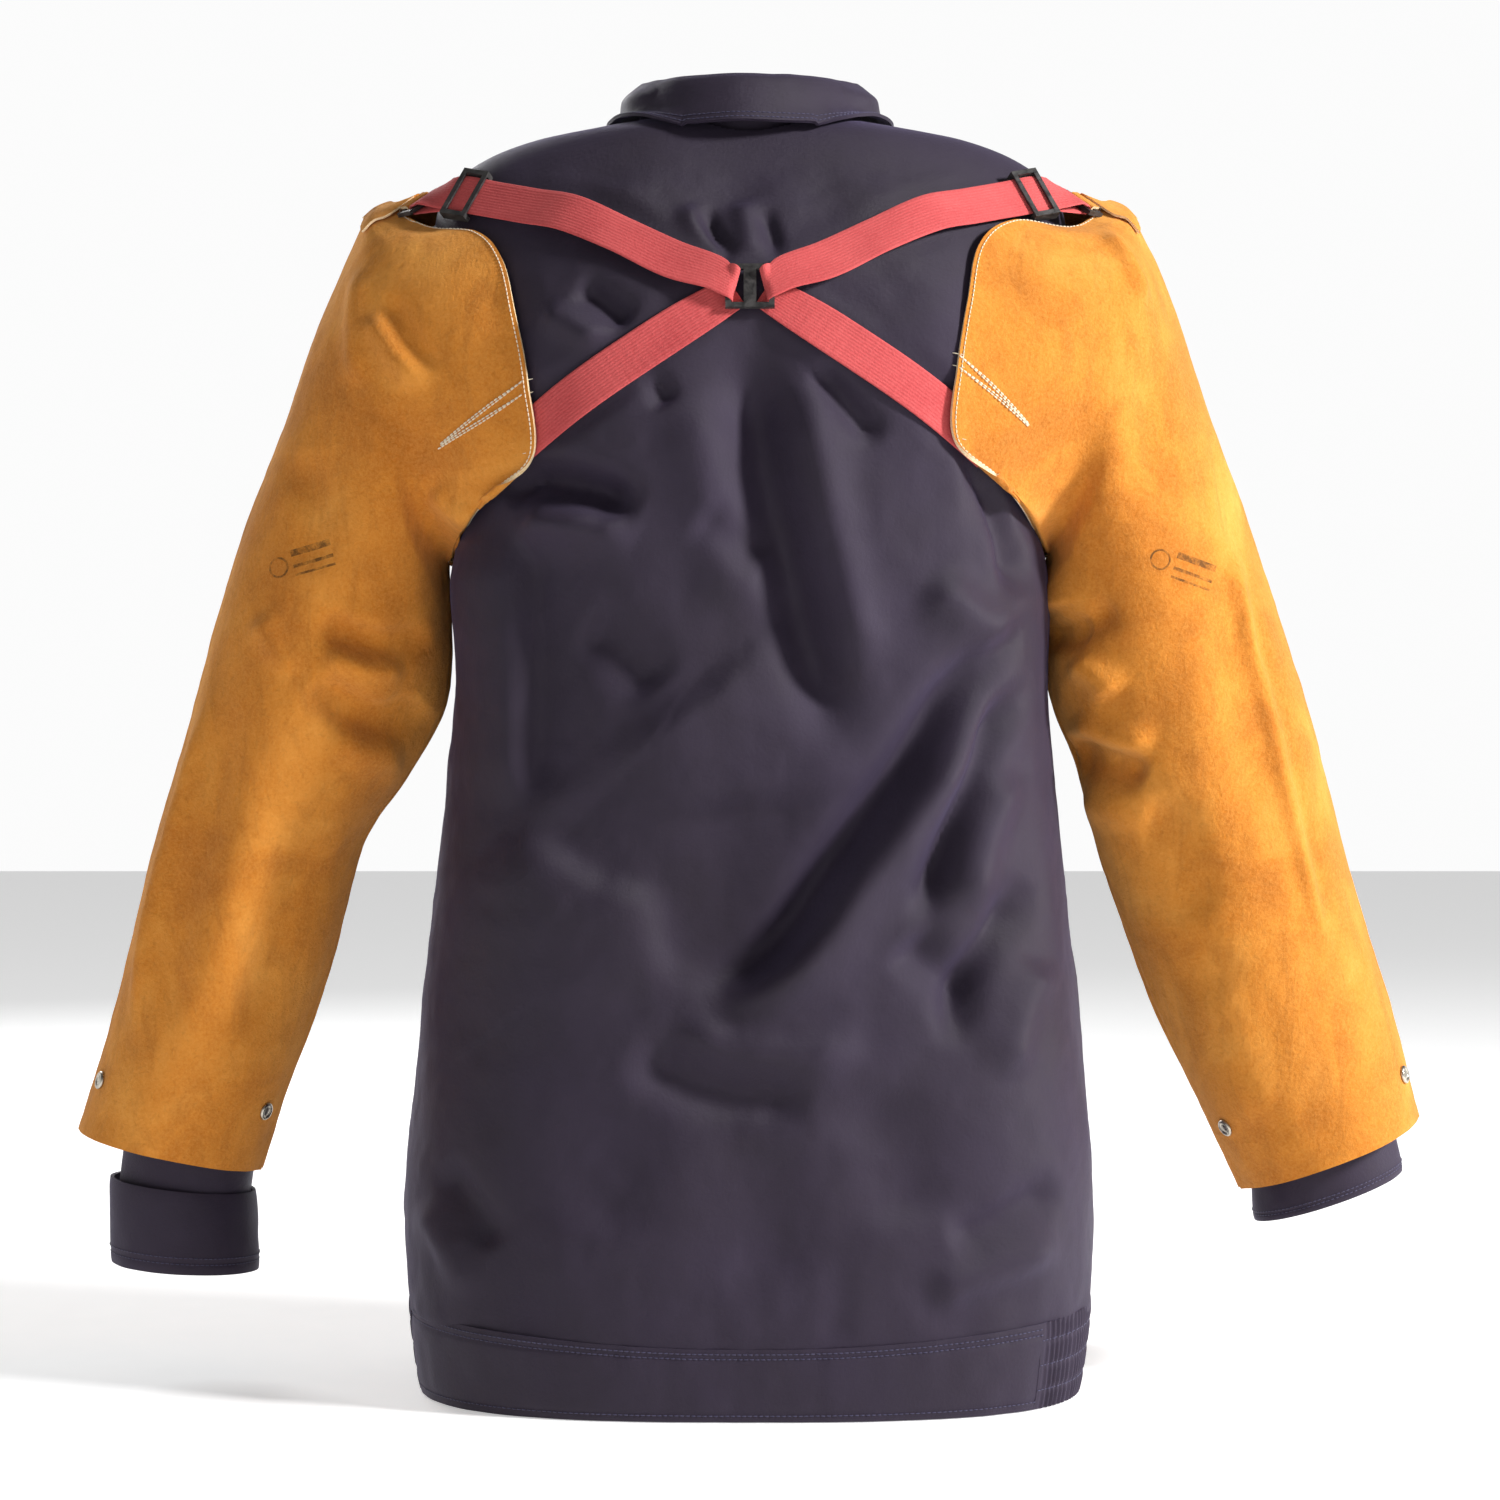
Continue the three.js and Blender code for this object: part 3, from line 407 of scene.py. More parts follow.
def drill(name):
    """Cotton drill: a fine diagonal twill, dyed unevenly, with lint and a soft sheen."""
    f = Finish(name, 0.6, sheen=0.3, sheen_roughness=0.35, specular=0.28)
    f.shader.inputs["Sheen Tint"].default_value = srgb(150, 140, 185)
    shade = f.noise(9, 5, 0.6)
    colour = f.steps(shade, (0.3, srgb(36, 28, 38)), (0.7, srgb(49, 40, 56)))
    twill = f.wave(620, turn=(0, math.radians(38), 0))
    colour = f.mix(f.grey(twill, 0, 1, 0.0, 0.3), colour, srgb(62, 53, 75))
    lint = f.noise(1400, 2, 0.7)
    colour = f.mix(f.grey(lint, 0.68, 0.8, 0, 0.2), colour, srgb(110, 100, 120))
    f.bump((twill, 0.0001), (f.noise(420, 3), 0.0002))
    return f.done(colour, f.grey(shade, 0.3, 0.7, 0.56, 0.7))


def ink(f, place, tilt):
    """A faded, generic ink mark of plain bars and a ring, on the wearer's back side of a hide."""
    seat = {"Location": place, "Rotation": (0, tilt, 0), "Scale": (MM, MM, MM), "Vector": f.place}
    local = f.add("Mapping", seat, vector_type="TEXTURE").outputs["Vector"]
    across, depth, up = f.add("SeparateXYZ", {0: local}).outputs

    def between(value, low, high):
        return f.math("MULTIPLY", f.math("GREATER_THAN", value, low), f.math("LESS_THAN", value, high))

    def square(value, middle):
        offset = f.math("SUBTRACT", value, middle)
        return f.math("MULTIPLY", offset, offset)

    radius = f.math("SQRT", f.math("ADD", square(across, 14), square(up, 4)))
    out = between(radius, 5, 6.2)
    for low, high in ((8, 12), (1, 3), (-4, -2.6)):
        out = f.math("MAXIMUM", out, f.math("MULTIPLY", between(up, low, high), between(across, -20, 5)))
    worn = f.grey(f.noise(170, 4, 0.7), 0.4, 0.6, 0.15, 0.8)
    return f.math("MULTIPLY", f.math("MULTIPLY", out, worn), f.math("GREATER_THAN", depth, 0))


def suede(name, marked=False):
    """Split cowhide: a blotchy golden nap with rubbed light and dark patches."""
    f = Finish(name, 0.95, sheen=0.3, sheen_roughness=0.6, specular=0.15)
    f.shader.inputs["Sheen Tint"].default_value = srgb(255, 214, 150)
    patches = f.noise(13, 6, 0.62, 0.6)
    colour = f.steps(
        patches,
        (0.25, srgb(158, 84, 14)),
        (0.42, srgb(190, 108, 26)),
        (0.55, srgb(208, 126, 38)),
        (0.75, srgb(228, 152, 64)),
    )
    streaks = f.noise(26, 5, 0.6, 1.2, stretch=(1.6, 1.6, 0.45))
    colour = f.mix(f.grey(streaks, 0.48, 0.72, 0, 0.6), colour, srgb(166, 90, 18))
    nap = f.noise(520, 5, 0.75)
    colour = f.mix(f.grey(nap, 0.35, 0.7, 0.0, 0.32), colour, srgb(240, 176, 92))
    grit = f.noise(230, 4, 0.7, 0.4)
    colour = f.mix(f.grey(grit, 0.3, 0.45, 0.22, 0.0), colour, srgb(150, 84, 20))
    if marked:
        for place, tilt in (((0.2625, 0, 0.488), 15), ((-0.2515, 0, 0.484), -18)):
            colour = f.mix(ink(f, place, math.radians(tilt)), colour, srgb(62, 40, 22))
    f.bump((f.noise(60, 4, 0.6), 0.0009), (nap, 0.0005), (grit, 0.0006))
    return f.done(colour, f.grey(patches, 0.3, 0.7, 0.9, 0.99))


def cut_edge(name):
    """The pale fibres of a cut edge of hide."""
    f = Finish(name, 0.95, specular=0.2)
    fibres = f.noise(900, 4, 0.7)
    f.bump((fibres, 0.0004))
    return f.done(f.steps(fibres, (0.3, srgb(214, 176, 122)), (0.7, srgb(244, 224, 190))))


def webbing(name):
    """Red elastic webbing, with fine cross ribs."""
    f = Finish(name, 0.8, sheen=0.25, specular=0.3)
    f.shader.inputs["Sheen Tint"].default_value = srgb(255, 180, 180)
    shade = f.noise(30, 4, 0.6)
    colour = f.steps(shade, (0.3, srgb(184, 66, 68)), (0.7, srgb(202, 82, 82)))
    weave = f.noise(900, 2, 0.6)
    colour = f.mix(f.grey(weave, 0.4, 0.65, 0, 0.3), colour, srgb(214, 104, 103))
    f.bump((weave, 0.0003))
    return f.done(colour)


def thread(name, colour):
    f = Finish(name, 0.6, sheen=0.2, specular=0.35)
    twist = f.noise(2600, 2)
    f.bump((twist, 0.0001))
    dark = tuple(c * 0.72 for c in colour[:3]) + (1,)
    return f.done(f.steps(twist, (0.35, dark), (0.65, colour)))


def plastic(name):
    """Moulded black acetal, a little scuffed."""
    f = Finish(name, 0.42, specular=0.5)
    scuffs = f.noise(160, 5, 0.7, 0.8)
    f.bump((f.noise(700, 3), 0.00008), (scuffs, 0.0001))
    colour = f.steps(scuffs, (0.4, srgb(38, 37, 37)), (0.75, srgb(74, 71, 70)))
    return f.done(colour, f.grey(scuffs, 0.35, 0.7, 0.34, 0.62))


def nickel(name):
    """Nickel plate, worn dull in patches."""
    f = Finish(name, 0.28, metallic=1)
    wear = f.noise(240, 5, 0.65, 0.5)
    f.bump((f.noise(1500, 3), 0.00004))
    colour = f.steps(wear, (0.35, srgb(176, 168, 152)), (0.7, srgb(216, 211, 200)))
    return f.done(colour, f.grey(wear, 0.3, 0.7, 0.2, 0.42))


def zip_cloth(name):
    f = Finish(name, 0.9, sheen=0.2, specular=0.2)
    rows = f.wave(420, turn=(0, math.radians(90), 0))
    f.bump((rows, 0.00015), (f.noise(900, 2), 0.0002))
    return f.done(f.steps(rows, (0.2, srgb(30, 27, 36)), (0.8, srgb(50, 46, 58))))


DRILL = drill("drill")
SUEDE = suede("suede")
MARKED_SUEDE = suede("marked_suede", marked=True)
EDGE = cut_edge("cut_edge")
WEB = webbing("webbing")
PALE_THREAD = thread("pale_thread", srgb(246, 232, 204))
NAVY_THREAD = thread("navy_thread", srgb(66, 62, 94))
PLASTIC = plastic("black_plastic")
NICKEL = nickel("nickel")
TAPE = zip_cloth("zip_tape")


# ---------- folds ----------
def line_distance(p, path):
    """For each point of a plane: its distance to a line, on which side it lies, and how far along it is."""
    path = np.asarray(path, float)
    run = run_along(path)
    best = np.full(len(p), 1e9)
    side, along = np.zeros(len(p)), np.zeros(len(p))
    for i, length in enumerate(np.linalg.norm(np.diff(path, axis=0), axis=1)):
        d = (path[i + 1] - path[i]) / length
        q = p - path[i]
        t = np.clip(q @ d, 0, length)
        gap = np.linalg.norm(q - t[:, None] * d, axis=1)
        near = gap < best
        best[near] = gap[near]
        side[near] = np.sign(d[0] * q[near, 1] - d[1] * q[near, 0])
        along[near] = (run[i] + t[near]) / run[-1]
    return best, side, along


def fold(p, knots, width, height, lean):
    """A ridge, or a valley where height is below 0, along a line through the knots. It fades at its ends.
    A lean above 0 raises the left bank as one walks along it, and sinks the right one."""
    out = np.zeros(len(p))
    low, high = np.min(knots, axis=0) - 3 * width, np.max(knots, axis=0) + 3 * width
    near = np.all((p > low) & (p < high), axis=1)
    if not near.any():
        return out
    gap, side, along = line_distance(p[near], smooth_path(knots, 6 * len(knots)))
    s = gap / width
    bell = np.exp(-(s**2))
    ends = ramp(along, 0, 0.25) * ramp(1 - along, 0, 0.25)
    out[near] = height * ends * bell * (1 + lean * side * s * 1.4)
    return out


# Folds of the back, in X and Z: line, width, height, lean.
BACK_FOLDS = [
    ([(26, 696), (20, 680), (8, 658)], 5, -4.2, 0.3),
    ([(36, 698), (30, 678), (17, 658)], 7, 3.2, 0),
    ([(-6, 694), (-12, 676), (-15, 658)], 5, -3, -0.3),
    ([(6, 702), (2, 682), (-2, 660)], 8, 3.2, 0),
    ([(5, 628), (3, 585), (-4, 535), (-16, 487), (-28, 440), (-40, 400), (-52, 366)], 17, -13, -0.4),
    ([(30, 590), (24, 540), (16, 500), (2, 450)], 18, 7, 0),
    ([(-30, 600), (-38, 550), (-48, 500), (-60, 450), (-72, 410)], 15, 8, 0),
    ([(31, 516), (12, 502), (-10, 488)], 12, -5, 0),
    ([(-40, 606), (-56, 580), (-78, 556)], 9, -6, 0.4),
    ([(98, 650), (84, 640), (64, 624)], 8, -6, 0.4),
    ([(122, 632), (100, 622), (70, 600)], 9, 6, 0),
    ([(62, 600), (54, 590), (46, 574)], 8, -5, 0),
    ([(152, 540), (120, 538), (92, 532), (58, 518)], 13, -13, 0.4),
    ([(140, 514), (112, 511), (86, 509), (62, 500)], 12, 8, 0),
    ([(98, 455), (76, 440), (50, 412)], 17, -7, 0),
    ([(40, 420), (14, 380), (6, 340)], 52, 9, 0),
    ([(-160, 460), (-138, 434), (-117, 410), (-93, 373), (-49, 313), (-12, 262), (42, 236)], 13, -13, 0.7),
    ([(-148, 410), (-110, 362), (-70, 308), (-36, 262), (20, 226)], 17, 13, 0),
    ([(48, 226), (8, 210), (-34, 206), (-70, 214)], 13, 6, 0),
    ([(72, 212), (20, 186), (-40, 182)], 18, -8, 0),
    ([(-164, 420), (-142, 390), (-122, 350), (-106, 304), (-100, 276)], 10, -11, 0.6),
    ([(-154, 372), (-134, 330), (-122, 284)], 12, 7, 0),
    ([(-120, 556), (-132, 536), (-142, 512), (-150, 466)], 9, -9, -0.5),
    ([(-98, 478), (-118, 462), (-148, 440)], 15, 8, 0),
    ([(-166, 306), (-146, 278), (-128, 248), (-118, 206)], 12, -9, 0.5),
    ([(-86, 276), (-104, 258), (-132, 240)], 15, -8, 0),
    ([(-172, 262), (-156, 226), (-146, 190)], 13, 6, 0),
    ([(-66, 196), (-84, 150), (-92, 104)], 26, -7, 0),
    ([(64, 190), (78, 150), (84, 100)], 28, -6, 0),
    ([(-10, 170), (-4, 120), (-14, 70)], 30, -5, 0),
    ([(-184, 128), (-150, 112), (-112, 96)], 12, -6, 0.4),
    ([(-182, 100), (-140, 84), (-96, 72)], 11, 6, 0),
    ([(186, 140), (164, 118), (146, 92)], 11, -5, -0.4),
    ([(196, 118), (174, 92), (156, 66)], 10, 4, 0),
]
# Edges of the back where the cloth on the left of the line stands above the cloth on its right.
BACK_STEPS = [
    ([(136, 512), (131, 480), (130, 420), (131, 343)], 5, 6.5),
    ([(131, 345), (112, 322), (88, 306), (62, 298), (51, 265), (44, 236)], 10, 6),
]
# Folds of the front, in X and Z. They run from the armholes, the pockets and the hem.
FRONT_FOLDS = [
    ([(150, 560), (136, 520), (132, 450), (138, 380)], 12, -10.2, 0.5),
    ([(-150, 560), (-138, 515), (-134, 440), (-140, 370)], 12, -10.2, -0.5),
    ([(124, 640), (96, 622), (70, 612)], 9, -6, 0.4),
    ([(-122, 642), (-98, 622), (-66, 610)], 9, -6, -0.4),
    ([(158, 430), (124, 390), (88, 340), (52, 270)], 15, -10.2, 0.6),
    ([(-158, 420), (-120, 370), (-80, 320), (-46, 240)], 15, -10.2, -0.6),
    ([(60, 440), (52, 380), (44, 300), (40, 220)], 13, -7.6, 0.4),
    ([(-64, 440), (-58, 370), (-44, 290), (-40, 200)], 13, -7.6, -0.4),
    ([(150, 300), (110, 240), (70, 190)], 16, -8.5, 0.4),
    ([(-150, 290), (-116, 230), (-76, 170)], 16, -8.5, -0.4),
    ([(170, 150), (140, 110), (120, 70)], 9, -7.6, 0.4),
    ([(-172, 140), (-140, 106), (-118, 64)], 9, -7.6, -0.4),
    ([(90, 150), (84, 110), (78, 70)], 12, -6.8, 0),
    ([(-86, 160), (-84, 110), (-74, 66)], 12, -6.8, 0),
]


def step(p, knots, width, height):
    """A terrace: the left bank of a line stands above the right one, and both sink back further off."""
    gap, side, along = line_distance(p, smooth_path(knots, 6 * len(knots)))
    ends = ramp(along, 0, 0.2) * ramp(1 - along, 0, 0.2)
    return height * ends * np.tanh(side * gap / width) * np.exp(-((gap / (7 * width)) ** 2))


def torso_drape(p, normal):
    """How far the drill stands off the torso's base surface, in millimetres."""
    x, y, z = p.T
    flat = np.column_stack([x, z])
    d = np.zeros(len(p))
    for folds, facing in ((BACK_FOLDS, normal[:, 1]), (FRONT_FOLDS, -normal[:, 1])):
        side = ramp(facing, 0.05, 0.35)
        some = side > 0
        for knots, width, height, lean in folds:
            d[some] += BODY_FOLD_STRENGTH * side[some] * fold(flat[some], knots, width, height, lean)
    side = ramp(normal[:, 1], 0.05, 0.35)
    for knots, width, height in BACK_STEPS:
        d += BODY_FOLD_STRENGTH * side * step(flat, knots, width, height)
    # Broad billows and a finer crumple, both drawn out along the drape.
    lean_z = p * [1, 1, 0.45]
    d += 3.6 * noise(lean_z, 62, 3) + 1.8 * noise(lean_z, 30, 5) + 0.5 * noise(p, 14, 7)
    d += 0.22 * noise(p, 6, 8)
    # Under each arm the cloth swells out as far as the hide.
    beside = ramp(np.abs(normal[:, 0]), 0.55, 0.95)
    d += 8 * beside * np.exp(-(((z - 478) / 54) ** 2)) * (np.abs(x) > 100)
    # Gathers above the hem.
    around = np.arctan2(y, x)
    gather = ramp(110 - z, 0, 75)
    d += gather * 2.2 * noise(np.column_stack([around * 190, 0 * z, z * 0.18]), 17, 9)
    # The zip, the pockets and the harness hold it close.
    zip_near = ramp(26 - np.abs(x), 0, 14)
    pocket_near = ramp(28 - np.abs(np.abs(x) - 81), -40, -10) * ramp(110 - np.abs(z - 522), 30, 50)
    calm = 1 - 0.75 * ramp(-normal[:, 1], 0.2, 0.6) * np.maximum(zip_near, pocket_near)
    calm *= 1 - 0.8 * ramp(z, 690, 735)
    calm *= 1 - 0.85 * ramp(HEM_HEIGHT + 12 - z, 0, 12)
    d *= calm
    for line in HARNESS_LINES:
        gap, _, _ = line_distance(flat, line)
        near = ramp(normal[:, 1], 0, 0.3) * ramp(24 - gap, 0, 12)
        d = d * (1 - near) + near * np.minimum(d * 0.35, 0.2)
    armhole = ramp(np.abs(x), 116, 130) * ramp(z, 498, 526)
    return d - armhole * np.maximum(d, 0) * 0.8


HARNESS_LINES = [
    [(141, 553), (105, 578), (62, 607), (22, 634), (0, 645)],
    [(-141, 553), (-105, 578), (-62, 607), (-22, 634), (0, 645)],
    [(0, 645), (22, 654), (44, 663), (74, 678), (104, 690), (170, 708)],
    [(0, 645), (-22, 654), (-44, 663), (-74, 678), (-104, 690), (-170, 708)],
]


# ---------- drill body ----------
def parting(z):
    """How far each front's edge turns away from the middle above the zip's slider."""
    return np.maximum(0, (z - ZIP_CLOSED_TO) / (800 - ZIP_CLOSED_TO)) * 16


def torso_body():
    columns, rows = 440, 300
    angle = np.radians(-90) + 2 * np.pi * np.arange(columns + 1) / columns
    z = np.concatenate([np.linspace(HEM_HEIGHT - 6, 700, rows - 60), np.linspace(702, 757, 60)])
    grid = torso_point(*np.meshgrid(angle, z))
    points = grid.reshape(-1, 3)
    normal = unit(outward(points))
    points = points + normal * torso_drape(points, normal)[:, None]
    grid = points.reshape(grid.shape)
    middle = (grid[:-1, :-1] + grid[1:, 1:]) / 2
    x, y, h = np.moveaxis(middle, -1, 0)
    neck = ((x / NECK[0]) ** 2 + ((y - NECK_Y) / NECK[1]) ** 2 < 1) & (h > 640)
    arm = ((y - ARMHOLE["y"]) / ARMHOLE["half_depth"]) ** 2
    arm += ((h - ARMHOLE["z"]) / ARMHOLE["half_height"]) ** 2
    keep = ~neck & ~((arm < 1) & (np.abs(x) > 110))
    keep &= ~((np.abs(x) < 4 + parting(h)) & (y < 0))
    seam = 6  # the side seams lie a little in front of the widest line
    for name, part, node in (
        ("back_panel_cloth", y > -seam, "back_panel"),
        ("left_front_cloth", (y <= -seam) & (x > 0), "left_front_panel"),
        ("right_front_cloth", (y <= -seam) & (x < 0), "right_front_panel"),
    ):
        sheet_piece(name, grid, 1.4, DRILL, "drill", keep=keep & part, replaces=node)
    return grid


torso_grid = torso_body()


# ---------- sleeves ----------
def arm_ring(centre, half, half_depth, angles, sign):
    c, s = np.cos(angles)[:, None], np.sin(angles)[:, None]
    ring = np.asarray(centre) + np.asarray(half) * c + np.array([0, half_depth, 0]) * s
    return ring * [sign, 1, 1]


def arm_stations(side, inset):
    """The centre, half axis and half depth of each station of a sleeve."""
    found = []
    for (outer_x, outer_z, inner_x, inner_z), (half_depth, y) in zip(SLEEVE_OUTLINE[side], SLEEVE_DEPTH):
        outer, inner = np.array([outer_x, 0, outer_z]), np.array([inner_x, 0, inner_z])
        half = (outer - inner) / 2
        half *= 1 - inset / np.linalg.norm(half)
        found.append(((outer + inner) / 2 + [0, y, 0], half, half_depth - inset))
    return found


def armhole_ring(angles, sign):
    table = np.array(ARMHOLE_EDGE, float)
    lifted = table[:, 4] > 0
    knots = table[:, 1:4].copy()
    if sign < 0:
        # The photographed right hide sits nearer the spine, and higher.
        shift = ramp(table[:, 0], 36, 60) * ramp(180 - table[:, 0], 0, 40)
        knots += shift[:, None] * [-10, 2, 9]
    knots[lifted], _ = on_torso(knots[lifted], table[lifted, 4])
    wrapped = np.concatenate([knots[-3:], knots, knots[:3]])
    turn = np.concatenate([table[-3:, 0] - 360, table[:, 0], table[:3, 0] + 360])
    ring = profile(np.column_stack([turn, wrapped]), np.degrees(angles))
    return ring * [sign, 1, 1]


def leather_surface(side, angles, rows):
    """The leather's outer surface, from the armhole edge to the wrist."""
    sign = SIDES[side]
    edge = armhole_ring(angles, sign)
    arm = [arm_ring(*station, angles, sign) for station in arm_stations(side, 0)]
    centre = np.array([sign * 150, 12, 600])
    between = (edge + arm[0]) / 2
    away = between - centre
    between = between + 5 * unit(away)
    return resampled(np.array([edge, between, *arm]), rows)


def resampled(rings, rows):
    """More rings, evenly spread along a smooth surface through those given."""
    steps = np.linalg.norm(np.diff(rings, axis=0), axis=2).mean(axis=1)
    run = np.concatenate([[0], np.cumsum(steps)])
    flat = profile(np.column_stack([run, rings.reshape(len(rings), -1)]), np.linspace(0, run[-1], rows))
    return flat.reshape(rows, *rings.shape[1:])


# Folds of the back of each sleeve, in X and Z: line, width, height, lean.
SLEEVE_FOLDS = {
    "left": [
        ([(230, 668), (231, 630), (229, 590)], 7, 3, 0),
        ([(224, 640), (206, 612), (184, 590)], 9, 3.5, 0),
        ([(214, 648), (196, 616), (178, 598)], 8, -3, 0),
        ([(186, 535), (176, 522), (160, 512)], 7, 3.5, 0),
        ([(252, 462), (232, 450), (210, 446), (186, 452)], 9, -7, 0.6),
        ([(250, 440), (226, 430), (200, 428)], 9, 4.5, 0),
        ([(258, 424), (236, 410), (212, 402), (194, 414)], 11, -8.5, 0.7),
        ([(246, 392), (222, 380), (204, 378)], 13, 4, 0),
        ([(290, 462), (276, 440), (262, 425)], 9, 3, 0),
        ([(317, 425), (338, 350), (356, 275), (368, 200)], 6, 3.5, 0.4),
        ([(300, 420), (318, 350), (338, 270), (350, 190)], 12, -3, 0),
        ([(280, 360), (300, 300), (318, 220)], 15, 2.5, 0),
        ([(250, 340), (278, 280), (300, 200)], 14, -2.4, 0),
        ([(262, 560), (256, 520), (262, 480)], 13, -3.5, 0),
    ],
    "right": [
        ([(-206, 690), (-222, 664), (-232, 640)], 5, 3.5, 0.4),
        ([(-168, 455), (-178, 447), (-200, 449)], 8, -8, -0.6),
        ([(-170, 488), (-178, 474), (-182, 462)], 11, 5, 0),
        ([(-178, 446), (-196, 452), (-216, 466)], 8, -5.5, 0),
        ([(-190, 436), (-206, 424), (-216, 412)], 8, 4.5, 0),
        ([(-186, 380), (-206, 372), (-236, 362)], 10, -7.5, -0.7),
        ([(-190, 400), (-214, 390), (-240, 384)], 9, 4, 0),
        ([(-196, 350), (-220, 346), (-244, 340)], 12, 3.5, 0),
        ([(-280, 516), (-289, 465), (-305, 405), (-318, 350), (-334, 285), (-344, 250)], 6, 4.5, -0.5),
        ([(-292, 490), (-303, 430), (-322, 350), (-345, 262)], 7, -3.5, 0),
        ([(-276, 470), (-290, 400), (-308, 330)], 14, -3, 0),
        ([(-238, 360), (-256, 310), (-268, 275)], 16, -3.5, 0),
        ([(-270, 250), (-290, 200), (-308, 150)], 15, 2.4, 0),
        ([(-240, 610), (-232, 570), (-240, 520)], 15, -3, 0),
    ],
}
# Folds of the front of a sleeve, at the elbow's crook, in |X| and Z.
CROOK_FOLDS = [
    ([(250, 470), (226, 456), (196, 452)], 9, -6, 0.5),
    ([(262, 440), (232, 424), (204, 420)], 10, -7, 0.5),
    ([(276, 404), (246, 386), (222, 380)], 11, -6, 0.4),
    ([(290, 540), (268, 500), (250, 480)], 14, -3.5, 0),
    ([(300, 380), (320, 300), (340, 220)], 12, -3, 0),
    ([(282, 340), (304, 260), (322, 180)], 14, 2.6, 0),
    ([(190, 650), (206, 600), (214, 560)], 14, -3.5, 0),
]


def leather_drape(side, p, normal, along, angles):
    sign = SIDES[side]
    flat = p[:, [0, 2]]
    d = np.zeros(len(p))
    back, front = ramp(normal[:, 1], -0.05, 0.3), ramp(-normal[:, 1], -0.05, 0.3)
    for knots, width, height, lean in SLEEVE_FOLDS[side]:
        d += SLEEVE_FOLD_STRENGTH * back * fold(flat, knots, width, height, lean)
    for knots, width, height, lean in CROOK_FOLDS:
        d += front * fold(flat * [sign, 1], knots, width, height, lean * sign)
    long_way = p * [1, 1, 0.5]
    seed = 20 if side == "left" else 30
    broad = 2.8 * noise(long_way, 70, seed) + 1.3 * noise(long_way, 32, seed + 1)
    d += broad + 0.35 * noise(p, 12, seed + 2)
    d += 0.12 * noise(p, 5, seed + 3)
    d = np.where(d < 0, -DEEPEST_VALLEY * np.tanh(-d / DEEPEST_VALLEY), d)
    shoulder = ramp(60 - along, 0, 60)
    d = d * (1 - 0.8 * shoulder) + 0.9 * ramp(14 - along, 0, 14) * (1 + noise(p, 26, seed + 4))
    # The two long seams draw the hide in, and it swells beside them.
    for at in (0, np.pi):
        gap = np.abs((angles - at + np.pi) % (2 * np.pi) - np.pi) * 62
        d += -1.5 * np.exp(-((gap / 1.6) ** 2)) + 0.9 * np.exp(-(((gap - 6) / 4) ** 2))
    return d


def leather_sleeve(side):
    """The two hides of a sleeve. Gives back the grid of each, and how far its rows are from the armhole."""
    rows = 300
    found = {}
    for half, (start, end) in {"back": (0, np.pi), "front": (np.pi, 2 * np.pi)}.items():
        angles = np.linspace(start + 0.003, end - 0.003, 132)
        grid = leather_surface(side, angles, rows)
        if side == "right":
            grid = grid[:, ::-1]
            angles = angles[::-1]
        normal = grid_normals(grid[::-1])[::-1]
        steps = np.linalg.norm(np.diff(grid, axis=0), axis=2)
        along = np.concatenate([np.zeros((1, grid.shape[1])), np.cumsum(steps, axis=0)])
        turn = np.broadcast_to(angles, along.shape)
        d = leather_drape(side, grid.reshape(-1, 3), normal.reshape(-1, 3), along.ravel(), turn.ravel())
        grid = grid + normal * d.reshape(along.shape)[..., None]
        upward = grid[::-1]
        name, node = f"{side}_leather_{half}", f"{side}_leather_sleeve_{half}"
        sheet_piece(name, upward, 2.0, [MARKED_SUEDE, EDGE], "leather", replaces=node)
        found[half] = (grid, grid_normals(upward)[::-1], along, angles)
    return found


leather = {side: leather_sleeve(side) for side in SIDES}


def drill_sleeve(side):
    """The drill sleeve inside the leather, from the armhole to its cuff."""
    sign = SIDES[side]
    angles = np.linspace(0, 2 * np.pi, 97)
    y = ARMHOLE["y"] + (ARMHOLE["half_depth"] + 3) * np.sin(angles)
    z = ARMHOLE["z"] + (ARMHOLE["half_height"] + 3) * np.cos(angles)
    half_width, front, back = profile(TORSO, z).T
    depth = np.where(y > 0, back, front)
    x = half_width * (1 - (np.abs(y) / depth) ** SQUARENESS) ** (1 / SQUARENESS)
    root = np.column_stack([sign * (x - 1.5), y, z])
    stations = arm_stations(side, JACKET_SLEEVE_INSET)[:-1]
    rings = [root, arm_ring((196, 12, 618), (16, 0, 66), 66, angles, sign)]
    rings += [arm_ring(*station, angles, sign) for station in stations]
    outer_x, outer_z, inner_x, inner_z = JACKET_CUFF[side][0]
    half = np.array([outer_x - inner_x, 0, outer_z - inner_z]) / 2
    half *= 1 - 4.5 / np.linalg.norm(half)
    end = ((outer_x + inner_x) / 2, CUFF_DEPTH[1], (outer_z + inner_z) / 2 - 9)
    rings.append(arm_ring(end, half, CUFF_DEPTH[0] - 4.5, angles, sign))
    grid = resampled(np.array(rings), 150)[::-1]
    if sign < 0:
        grid = grid[:, ::-1]
    normal = grid_normals(grid)
    flat = grid.reshape(-1, 3)
    d = 1.6 * noise(flat * [1, 1, 0.6], 34, 41) + 0.6 * noise(flat, 14, 42)
    grid = grid + normal * (d.reshape(grid.shape[:2]) * 0.8)[..., None]
    middle = grid.shape[1] // 2
    halves = {"back": grid[:, : middle + 1], "front": grid[:, middle:]}
    if sign < 0:
        halves = {"front": halves["back"], "back": halves["front"]}
    for name, part in halves.items():
        node = f"{side}_jacket_sleeve_{name}"
        sheet_piece(f"{side}_drill_sleeve_{name}", part, 1.2, DRILL, "drill", replaces=node)


